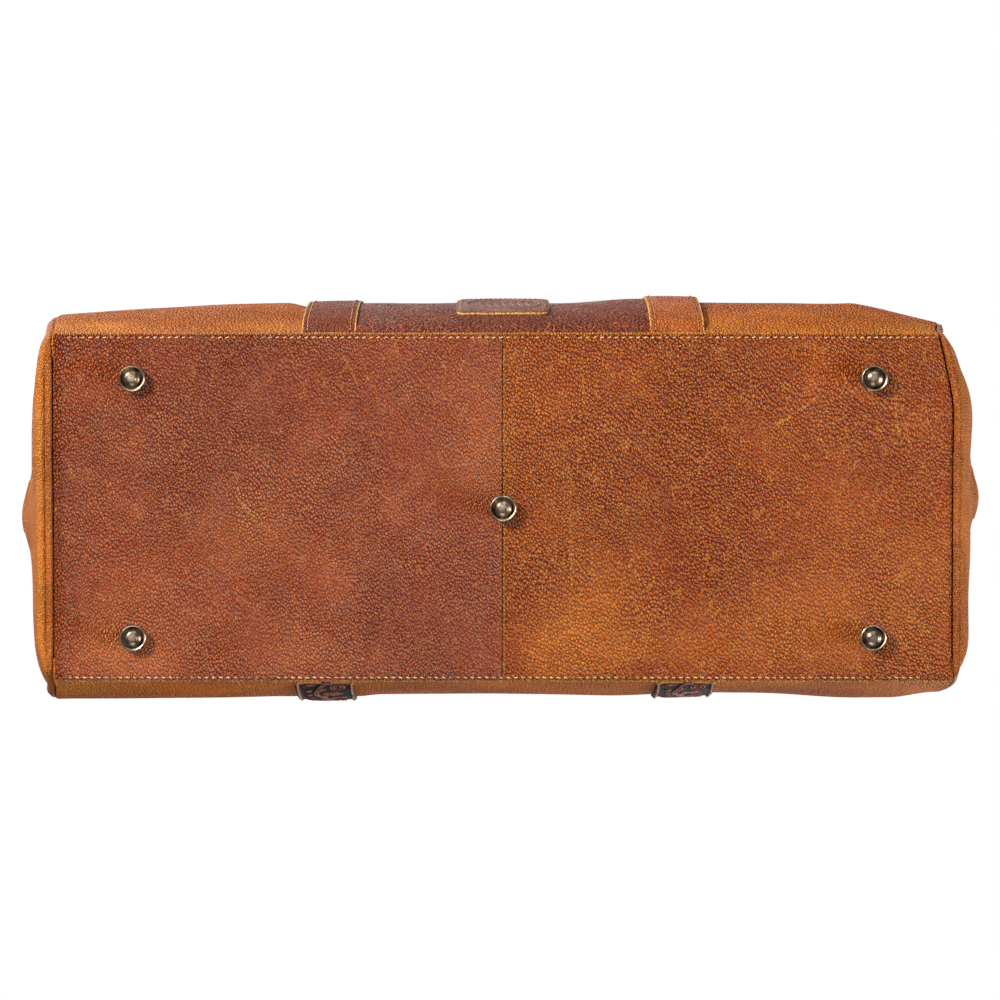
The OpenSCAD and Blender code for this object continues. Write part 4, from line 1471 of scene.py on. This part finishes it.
def end_panel(name, end):
    shape = ENDS[end]
    rows = []
    for rho in [1.0, 0.995, 0.985] + spread(0.97, 0.03, 52):
        row = []
        for y, z in shape.rim:
            py, pz = y * rho, END_MID_Z + (z - END_MID_Z) * rho
            e = 0.5
            gx = shape.x(py, pz)
            dy = (shape.x(py + e, pz) - gx) / e
            dz = (shape.x(py, pz + e) - gx) / e
            normal = Vector((end, -dy * 0.9, -dz * 0.9)).normalized() if rho < 0.96 else Vector((end, 0, 0))
            row.append((Vector((end * gx, py, pz)), normal))
        rows.append(row)
    verts, faces, attributes = closed_dome(rows, 1.7)
    obj = outward(mesh_object(name, verts, faces, END, attributes=attributes))
    place(obj, "bag", "body_leather", name)


end_panel("end_panel_left", LEFT)
end_panel("end_panel_right", RIGHT)

END_STRAP_HALF_W = 15.0
END_STRAP_SHIFT = {LEFT: 4.0, RIGHT: -4.0}  # the straps' middles in y


def end_strap_rows(end, lift):
    """Over the zipper's end, round the piping and down the end panel."""
    shape = ENDS[end]
    shift = END_STRAP_SHIFT[end]
    ys = spread(-END_STRAP_HALF_W, END_STRAP_HALF_W, 18)
    rows = []

    def top_z(y):
        return skin(end * 240.0, 1.97, BACK)[0].z - 0.0018 * y * y

    for x in spread(224, PIPING_X, 14):
        rows.append([(Vector((end * x, y, top_z(y) + lift + 0.4)), Vector((0, 0, 1))) for y in ys])
    for a in spread(84, 6, 9):
        c, s = around(a)
        r = PIPING_R + 0.4 + lift
        row = []
        for y in ys:
            f = (90 - a) / 90
            row.append((Vector((end * (PIPING_X + r * c), y + shift * 0.15 * f, top_z(y) - PIPING_R + r * s)),
                        Vector((end * c, 0, s))))
        rows.append(row)
    for z in spread(272, 96, 90):
        row = []
        drift = shift * smooth(z, 278, 200)
        skived = 1 - 0.9 * smooth(z, 124, 97)
        normal = Vector((end, 0, 0.15)).normalized()
        for y in ys:
            py = y + drift
            gx = max(shape.x(py, z), PIPING_X + PIPING_R + 0.3 + (278 - z) * 0.12 if z > 262 else 0)
            row.append((Vector((end * (gx + lift * skived + 0.2), py, z)), normal))
        rows.append(row)
    return rows


def end_strap(name, end):
    rows = end_strap_rows(end, 1.8)
    obj = leather_piece(name, rows, 1.8, END, edge_round=0.5)
    place(obj, "bag", "body_leather", name)
    lines = []
    for j in (2, -3):
        lines += stitch_rows([row[j] for row in rows[:-14]], size=0.36)
    stitches(name + "_stitches", lines, "bag", "body_leather", THREAD_BROWN)


end_strap("end_strap_left", LEFT)
end_strap("end_strap_right", RIGHT)

D_BAR_Z = 226.0


def d_bar(end):
    """Middle of the D-ring's straight bar, where the CAD's ring has it."""
    low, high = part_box("d_ring_right" if end > 0 else "d_ring_left")
    inner = low.x / MM if end > 0 else -high.x / MM
    return inner + WIRE_R


def d_ring(name, end):
    x0 = d_bar(end)
    lean = math.radians(20)
    r, wire = 14.5, 1.9
    path = []
    for a in spread(8, 172, 40):
        c, s = around(a)
        path.append((r * c, -r * s - 1.2))
    for f in spread(-1, 1, 16)[1:-1]:
        path.append((f * (r - 0.5), 0.0))
    points = [Vector((end * (x0 - d * math.sin(lean)), y, D_BAR_Z + d * math.cos(lean))) for y, d in path]
    verts, faces = tube(points, wire, sides=16, closed=True, up=Vector((1, 0, 0)))
    obj = outward(mesh_object(name, verts, faces, BRASS, attributes={"rub": [0.35] * len(verts)}))
    place(obj, "left_d_ring" if end < 0 else "right_d_ring", "old_brass", name)


d_ring("d_ring_left", LEFT)
d_ring("d_ring_right", RIGHT)


def d_ring_loop(name, end):
    """A strip of leather that comes down the end strap, goes round the bar and back up."""
    x0, shape = d_bar(end), ENDS[end]
    ys = spread(-11, 11, 14)
    rows = []

    def surface(z):
        return shape.x(END_STRAP_SHIFT[end] * 0.8, z) + 2.1

    for z in spread(250, 232, 8):
        rows.append([(Vector((end * (surface(z) + 3.3), y, z)), Vector((end, 0, 0))) for y in ys])
    for a in spread(62, -150, 20):
        c, s = around(a)
        x, z, normal = end * (x0 + 3.9 * c), D_BAR_Z + 3.9 * s, Vector((end * c, 0, s))
        rows.append([(Vector((x, y, z)), normal) for y in ys])
    for z in spread(228, 250, 8):
        rows.append([(Vector((end * (surface(z) + 0.15), y, z)), Vector((-end, 0, 0))) for y in ys])
    obj = leather_piece(name, rows, 1.5, STRAP_TAN, edge_round=0.35)
    place(obj, "bag", "body_leather", name)
    lines = []
    for z in (240, 247):
        x = end * (surface(z) + 3.35)
        lines += stitch_rows([(Vector((x, y, z)), Vector((end, 0, 0))) for y in spread(-8.5, 8.5, 12)], size=0.36)
    stitches(name + "_stitches", lines, "bag", "body_leather", THREAD_BROWN)


d_ring_loop("d_ring_loop_left", LEFT)
d_ring_loop("d_ring_loop_right", RIGHT)


# =====================================================================================
# Top panels and zipper.
# =====================================================================================

def window(x):
    """How far the mouth opens at x, from 0 at its ends to 1 in its middle."""
    return smooth(MOUTH - abs(x), 0.0, 110.0)


def bend_open(obj, ramp=True):
    """Bakes the piece's place into its mesh. It works out each point's share of the mouth's opening, but nothing
    uses it.
    """
    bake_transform(obj)
    for v in obj.data.vertices:
        share = window(v.co.x / MM)
        if ramp:
            inward = 86.0 - abs(v.co.y) / MM
            share *= smooth(inward, -1.0, 22.0)
    return obj


def bent_piece(obj, side, slot, *nodes, ramp=True):
    """Hides the CAD nodes that the piece stands for, applies its modifiers and bakes its place into its mesh."""
    if nodes:
        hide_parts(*nodes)
    for mod in list(obj.modifiers):
        bpy.context.view_layer.objects.active = obj
        obj.select_set(True)
        bpy.ops.object.modifier_apply(modifier=mod.name)
        obj.select_set(False)
    return bend_open(obj, ramp)


TOP_XS = spread(-HALF_LEN, HALF_LEN, 230)


def top_lift(s):
    """The top panel laps over the wall at the shoulder and turns down at the zipper."""
    return 1.9 * (1 - smooth(s, 0.985, 1.10)) - 1.2 * smooth(s, 1.965, 2.0)


def top_panel(side, node, ends):
    ss = spread(0.982, 1.1, 14) + spread(1.1, 1.94, 46)[1:] + spread(1.94, 2.0, 8)[1:]
    rows = panel_rows(side, TOP_XS, ss, lambda x, s: top_lift(s))
    obj = leather_piece(node, rows, 1.7, TAN_REST, edge_round=0.4)
    bent_piece(obj, side, "body_leather", node, *ends)
    lines = []
    for s in (0.992, 1.01, 1.93, 1.955):
        lines += stitch_rows([skin(x, s, side, top_lift(s) + 0.05) for x in spread(-240, 240, 300)], size=0.36)
    verts, faces = joined(lines)
    sewn = mesh_object(node + "_stitches", verts, faces, THREAD_BROWN, smooth_angle=60)
    bent_piece(sewn, side, "body_leather")


top_panel(FRONT, "top_panel_front", ("top_end_left",))
top_panel(BACK, "top_panel_back", ("top_end_right",))

TAPE_Z = 282.5
TOOTH_PITCH = 3.4
CHAIN_Z = 282.2


def zip_tape(side, node):
    """Woven tape under the leather, from its hidden edge to the bead that holds the teeth."""
    ys = spread(19.0, 1.6, 10)
    rows = []
    for y in ys:
        heights = [(x, TAPE_Z + 0.1 * noise.noise(Vector((x * 0.05, y, side)))) for x in spread(-MOUTH, MOUTH, 190)]
        rows.append([(Vector((x, side * y, z)), Vector((0, 0, 1))) for x, z in heights])
    obj = leather_piece(node, rows, 0.6, TAPE, edge_round=0)
    bent_piece(obj, side, "zip_tape", node, ramp=False)
    bead = [Vector((x, side * 2.5, CHAIN_Z)) for x in spread(-MOUTH + 2, MOUTH - 2, 190)]
    verts, faces = tube(bead, 0.75, sides=8, up=Vector((0, 0, 1)))
    cord = mesh_object(node + "_bead", verts, faces, TAPE)
    bent_piece(cord, side, "zip_tape", ramp=False)


zip_tape(FRONT, "zip_tape_front")
zip_tape(BACK, "zip_tape_back")


def tooth(x, side):
    """A cast tooth: legs that grip the bead, a waist and a rounded head that reaches the other row."""
    plan = ((3.4, 1.0), (2.6, 1.15), (1.7, 0.95), (1.1, 0.62), (0.5, 0.7), (-0.2, 0.85), (-0.9, 0.8), (-1.25, 0.5))
    rings = []
    for z, scale in ((-1.8, 0.813), (-1.5, 0.945), (1.5, 0.945), (1.8, 0.813)):
        near = [Vector((x - half * scale, side * y, CHAIN_Z + z)) for y, half in plan]
        far = [Vector((x + half * scale, side * y, CHAIN_Z + z)) for y, half in reversed(plan)]
        rings.append(near + far)
    return loft(rings)


def zip_teeth(side, node, shift):
    count = 118
    start = -count * TOOTH_PITCH / 2 + shift
    verts, faces = joined([tooth(start + i * TOOTH_PITCH, side) for i in range(count)])
    rub = [0.6 if v.z > CHAIN_Z + 1.2 else 0.1 for v in verts]
    obj = outward(mesh_object(node, verts, faces, TOOTH, attributes={"rub": rub}))
    bent_piece(obj, side, "old_brass", node, ramp=False)


zip_teeth(FRONT, "zip_teeth_front", 0.4)
zip_teeth(BACK, "zip_teeth_back", 0.4 + TOOTH_PITCH / 2)

SLIDER_X = 212.3
PULL_Z = 291.0


PLATE_SIDES = 32


def rounded_plate(length, width, z0, z1, x0, squareness=2.6, taper=0.0):
    """A plate with a superellipse outline and eased edges."""
    rings = []
    inset = min((z1 - z0) * 0.35, 0.5)
    for z, grow in ((z0, -inset), (z0 + inset, 0), (z1 - inset, 0), (z1, -inset)):
        ring = []
        for k in range(PLATE_SIDES):
            u, v = squircle(2 * math.pi * k / PLATE_SIDES, 2 / squareness)
            px, py = u * (length / 2 + grow), v * (width / 2 + grow)
            ring.append(Vector((x0 + px, py * (1 - taper * px / length), z)))
        rings.append(ring)
    return loft(rings)


def slider():
    """Two plates with a wedge and side rails between them, and an arch on top with the bar for the pull."""
    parts = [
        rounded_plate(11.4, 10.4, CHAIN_Z + 2.25, CHAIN_Z + 3.9, SLIDER_X, taper=0.25),
        rounded_plate(11.4, 10.4, CHAIN_Z - 3.9, CHAIN_Z - 2.25, SLIDER_X, taper=0.25),
        rounded_plate(2.6, 0.8, CHAIN_Z - 2.4, CHAIN_Z + 2.4, SLIDER_X + 4.0),
    ]
    foot_z = CHAIN_Z + 3.4
    rise = PULL_Z + 1.4 - foot_z
    for y in (-3.1, 3.1):
        arch = [Vector((SLIDER_X + 3.0 * math.cos(a), y, foot_z + rise * math.sin(a) ** 0.8))
                for a in spread(0.0, math.pi, 16)]
        parts.append(tube(arch, 0.75, sides=10))
    parts.append(tube([Vector((SLIDER_X, y, PULL_Z)) for y in spread(-3.1, 3.1, 4)], 0.9, sides=14,
                      up=Vector((0, 0, 1))))
    for y in (-4.6, 4.6):
        for z in (-2.0, 2.0):
            rail = [Vector((SLIDER_X + x, y * (1 - 0.02 * x), CHAIN_Z + z)) for x in (-4.6, 0, 4.6)]
            parts.append(tube(rail, 0.5, sides=8, up=Vector((0, 1, 0.1))))
    verts, faces = joined(parts)
    obj = outward(mesh_object("zip_slider", verts, faces, BRASS, attributes={"rub": [0.5] * len(verts)}))
    place(obj, "zipper_slider", "old_brass", "zip_slider")


slider()


def pull():
    """A barrel round the slider's bar, a plate, and a leather tab sewn on it."""
    parts = [
        tube([Vector((SLIDER_X, y, PULL_Z)) for y in spread(-2.1, 2.1, 5)], 1.9, sides=18, up=Vector((0, 0, 1))),
        rounded_plate(8.0, 4.0, PULL_Z - 0.85, PULL_Z + 0.85, SLIDER_X + 4.6, squareness=4),
        rounded_plate(17.0, 6.0, PULL_Z - 0.9, PULL_Z + 0.9, SLIDER_X + 13.6, squareness=3.2),
    ]
    verts, faces = joined(parts)
    obj = outward(mesh_object("zip_pull", verts, faces, BRASS, attributes={"rub": [0.45] * len(verts)}))
    place(obj, "zipper_pull", "old_brass", "zip_pull")
    rows = []
    for f in spread(0, 1, 40):
        x = SLIDER_X + 12.5 + 51.5 * f
        round_end = math.sqrt(max(1 - max((f - 0.88) / 0.12, 0) ** 2, 0.02))
        half = 5.8 * round_end * (0.78 + 0.22 * smooth(f, 0, 0.2))
        drop = -0.9 * smooth(f, 0.4, 1.0)
        rows.append([(Vector((x, half * g, PULL_Z + 1.9 + drop - 0.5 * g * g)), Vector((0, 0, 1)))
                     for g in spread(-1, 1, 14)])
    tab = leather_piece("zip_pull_tab", rows, 3.6, STRAP_TAN, edge_round=0.5)
    place(tab, "zipper_pull", "body_leather", "zip_pull_tab")
    line = [rows[i][2] for i in range(2, 36)]
    line += [rows[35][j] for j in range(3, 11)]
    line += [rows[i][-3] for i in range(35, 1, -1)]
    sewn = stitch_rows(line, pitch=3.0, size=0.3, length=2.2)
    stitches("pull_stitches", sewn, "zipper_pull", "body_leather", THREAD)


pull()
for end_node in ("zip_end_left", "zip_end_right"):
    paint(end_node, plain(end_node + " tape", srgb(62, 44, 30), srgb(84, 60, 40), 0.9, 1200.0))


# =====================================================================================
# Lining
# =====================================================================================

LINING_OFF = -3.9  # from the bag's skin
LINING_FLOOR_Z = 15.7
LINING_END_Z = 130.0  # the middle of the lining's ends


def wrinkle(x, s):
    return 0.9 * noise.noise(Vector((x * 0.03, s * 9, 4.4)))


def lining():
    """The body's lining, down the back, over the board and up the front, and a flat piece at each end."""
    xs = spread(-HALF_LEN + 2.5, HALF_LEN - 2.5, 110)
    rows = []
    for s in spread(0.985, 0.03, 60):
        rows.append([skin(x, s, BACK, LINING_OFF + wrinkle(x, s)) for x in xs])
    for y in spread(88, -88, 40):
        heights = [LINING_FLOOR_Z + 0.25 * noise.noise(Vector((x * 0.04, y * 0.04, 0))) for x in xs]
        rows.append([(Vector((x, y, z)), Vector((0, 0, -1))) for x, z in zip(xs, heights)])
    for s in spread(0.03, 0.985, 60):
        rows.append([skin(x, s, FRONT, LINING_OFF + wrinkle(x, s + 3)) for x in xs])
    obj = leather_piece("lining_body", rows, 0.7, LINING, edge_round=0)
    place(obj, "bag", "lining", "lining_body")
    for name, end in (("lining_end_left", LEFT), ("lining_end_right", RIGHT)):
        loop = outline(end * (HALF_LEN - 3), -5.6)
        loop = [(y, max(z, 16.8)) for y, z, _, _ in loop if z < 246]
        rows = []
        for rho in [1.0] + spread(0.95, 0.04, 20):
            row = []
            for y, z in loop:
                billow = 1.2 * noise.noise(Vector((y * rho * 0.02, z * 0.02, end))) * (1 - rho)
                x, high = end * (HALF_LEN - 1.6 + billow), LINING_END_Z + (z - LINING_END_Z) * rho
                row.append((Vector((x, y * rho, high)), Vector((end, 0, 0))))
            rows.append(row)
        verts, faces, attributes = closed_dome(rows, 0.7)
        end_obj = outward(mesh_object(name, verts, faces, LINING, attributes=attributes))
        place(end_obj, "bag", "lining", name)


lining()


INNER_X = 90.0
INNER_LOW, INNER_HIGH = 0.3, 0.72


def inner_off(x, s):
    """Distance of the inner pocket off the bag's skin. It sags a little in its middle."""
    up = (s - INNER_LOW) / (INNER_HIGH - INNER_LOW)
    return -5.3 - 0.7 * math.cos(math.pi * x / (2 * INNER_X)) * math.sin(math.pi * up)


def inner_pocket():
    rows = panel_rows(BACK, spread(-INNER_X, INNER_X, 60), spread(INNER_HIGH, INNER_LOW, 40), inner_off)
    obj = leather_piece("inner_pocket", rows, 0.8, LINING, edge_round=0)
    place(obj, "bag", "lining", "inner_pocket")


inner_pocket()


# =====================================================================================
# Rings and handles
# =====================================================================================

RING_RISE = 20.0
RING_HALF = STRAP_W / 2 + 2.5
TAB_RISE = 26.0
HANDLE_LEG = 30.0


def ring(name, x, side, body):
    """A rectangular ring with round corners, whose lower bar lies in the strap's loop."""
    centre, _ = loop_centre(x, side)
    r = 3.2
    path = []
    for cx, cz, a0 in ((RING_HALF - r, RING_RISE - r, 0), (-RING_HALF + r, RING_RISE - r, 90),
                       (-RING_HALF + r, r, 180), (RING_HALF - r, r, 270)):
        for a in spread(a0, a0 + 90, 8):
            c, s = around(a)
            path.append((cx + r * c, cz + r * s))
    dense = []
    for i, (a, b) in enumerate(path):
        c, d = path[(i + 1) % len(path)]
        steps = 1 if math.hypot(c - a, d - b) < 2 else 10
        for k in range(steps):
            dense.append(Vector((x + a + (c - a) * k / steps, centre.y, centre.z + b + (d - b) * k / steps)))
    verts, faces = tube(dense, WIRE_R - 0.05, sides=16, closed=True)
    rub = [0.25 + 0.5 * smooth(abs(v.x - x), RING_HALF - 2, RING_HALF + 1) for v in verts]
    obj = outward(mesh_object(name, verts, faces, BRASS, attributes={"rub": rub}))
    place(obj, body, "old_brass", name)


ring("ring_front_left", -FRONT_STRAP_X, FRONT, "front_rings")
ring("ring_front_right", FRONT_STRAP_X, FRONT, "front_rings")
ring("ring_back_left", -BACK_STRAP_X, BACK, "back_rings")
ring("ring_back_right", BACK_STRAP_X, BACK, "back_rings")


def handle_path(half, y, z0):
    """Up one leg, over the half circle and down the other."""
    path = [Vector((-half, y, z0 + z)) for z in spread(0, HANDLE_LEG, 11)]
    for a in spread(180, 0, 96)[1:-1]:
        c, s = around(a)
        path.append(Vector((half * c, y, z0 + HANDLE_LEG + half * s)))
    path += [Vector((half, y, z0 + z)) for z in spread(HANDLE_LEG, 0, 11)]
    return path


def rolled(a, _, r):
    """The section of a rolled handle. The sewn edges of its leather meet in a small ridge inside the curve."""
    ridge = 0.13 * math.exp(-((a - math.pi) / 0.28) ** 2)
    return r * math.cos(a) * (1 + ridge), r * math.sin(a)


def handle(side, half, tag, tab_material, tab_slot):
    """A rolled handle with its stitches and its two tabs."""
    body = tag + "_handle"
    centre, _ = loop_centre(half, side)
    z0 = centre.z + RING_RISE + TAB_RISE
    y = centre.y
    path = handle_path(half, y, z0)
    verts, faces = tube(path, HANDLE_R - 0.2, sides=28, shape=rolled)
    middle = Vector((0, y, z0 + HANDLE_LEG))
    obj = outward(mesh_object("handle_" + tag, verts, faces, HANDLE))
    place(obj, body, "body_leather", "handle_" + tag)
    parts = []
    for off in (-1.1, 1.1):
        row = []
        for p in path[2:-2]:
            inward = (middle - p) if p.z > middle.z else Vector((-p.x, 0, 0))
            inward = inward.normalized()
            row.append((p + inward * (HANDLE_R + 0.25) + Vector((0, off, 0)), inward))
        parts += stitch_rows(row, size=0.34, length=2.8)
    stitches("handle_%s_stitches" % tag, parts, body, "body_leather", THREAD_BROWN)
    paint("handle_core_" + tag, ROPE)
    for end, word in ((LEFT, "left"), (RIGHT, "right")):
        handle_tab("handle_tab_%s_%s" % (tag, word), end * half, y, centre.z + RING_RISE, body, tab_material,
                   tab_slot)


TAB_SIDES = 40
TAB_T = 1.65  # half the thickness of a tab's flat part
TAB_SEWN = 3.0


def tab_section(z):
    """Half width, half thickness and squareness of a tab at z over the ring's bar: flat, then round."""
    half_w = STRAP_W / 2 + (HANDLE_R + 1.3 - STRAP_W / 2) * smooth(z, 6.0, TAB_RISE - 2)
    half_t = TAB_T + (HANDLE_R + 1.3 - TAB_T) * smooth(z, 5.0, TAB_RISE)
    return half_w, half_t, 7.0 - 5.0 * smooth(z, 6.0, TAB_RISE)


def handle_tab(name, x, y, bar_z, body, material, slot):
    """Leather folded round the ring's bar, which narrows and closes round the end of the handle."""
    rings = []
    for z in spread(3.4, TAB_RISE + 9, 34):
        half_w, half_t, power = tab_section(z)
        ring_points = []
        for k in range(TAB_SIDES):
            u, w = squircle(2 * math.pi * k / TAB_SIDES, 2 / power)
            ring_points.append(Vector((x + u * half_w, y + w * half_t, bar_z + z)))
        rings.append(ring_points)
    end_ring, end_z = rings[-1], bar_z + TAB_RISE + 9
    for grow, dz in ((0.96, 0.35), (0.90, 0.35), (0.87, -0.6)):
        rings.append([Vector((x + (v.x - x) * grow, y + (v.y - y) * grow, end_z + dz)) for v in end_ring])
    verts, faces = loft(rings)
    loop_rows = []
    for a in spread(128, 412, 30):
        c, s = around(a)
        loop_rows.append([(Vector((px, y + 3.9 * c, bar_z + 3.9 * s)), Vector((0, c, s)))
                          for px in spread(x - STRAP_W / 2, x + STRAP_W / 2, 12)])
    band, band_faces, _ = hide_grid(loop_rows, 1.5)
    whole, whole_faces = joined([(verts, faces), (band, band_faces)])
    attributes = {"edge": [50.0] * len(whole), "raw": [0.0] * len(whole), "carved": []}
    for v in whole:
        u, w = v.x - x, v.z - bar_z
        attributes["carved"].append(0.75 * carving(u * 1.1, w + 10) if abs(u) < 14 and w < TAB_RISE else 0.55)
    obj = outward(mesh_object(name, whole, whole_faces, material, attributes=attributes))
    bevel(obj, 0.35)
    place(obj, body, slot, name)
    parts = []
    for face in (-1, 1):
        for edge in (-1, 1):
            row = []
            for z in spread(6.0, TAB_RISE + 5, 16):
                half_w, half_t, power = tab_section(z)
                across = half_w - TAB_SEWN
                depth = half_t * max(1 - (across / half_w) ** power, 0.0) ** (1 / power)
                p = Vector((x + edge * across, y + face * (depth + 0.05), bar_z + z))
                row.append((p, Vector((0, face, 0))))
            parts += stitch_rows(row, size=0.34)
    stitches(name + "_stitches", parts, body, slot, THREAD if slot == "tooled_leather" else THREAD_BROWN)


handle(FRONT, FRONT_STRAP_X, "front", STRAP_TAN, "body_leather")
handle(BACK, BACK_STRAP_X, "back", TOOLED, "tooled_leather")
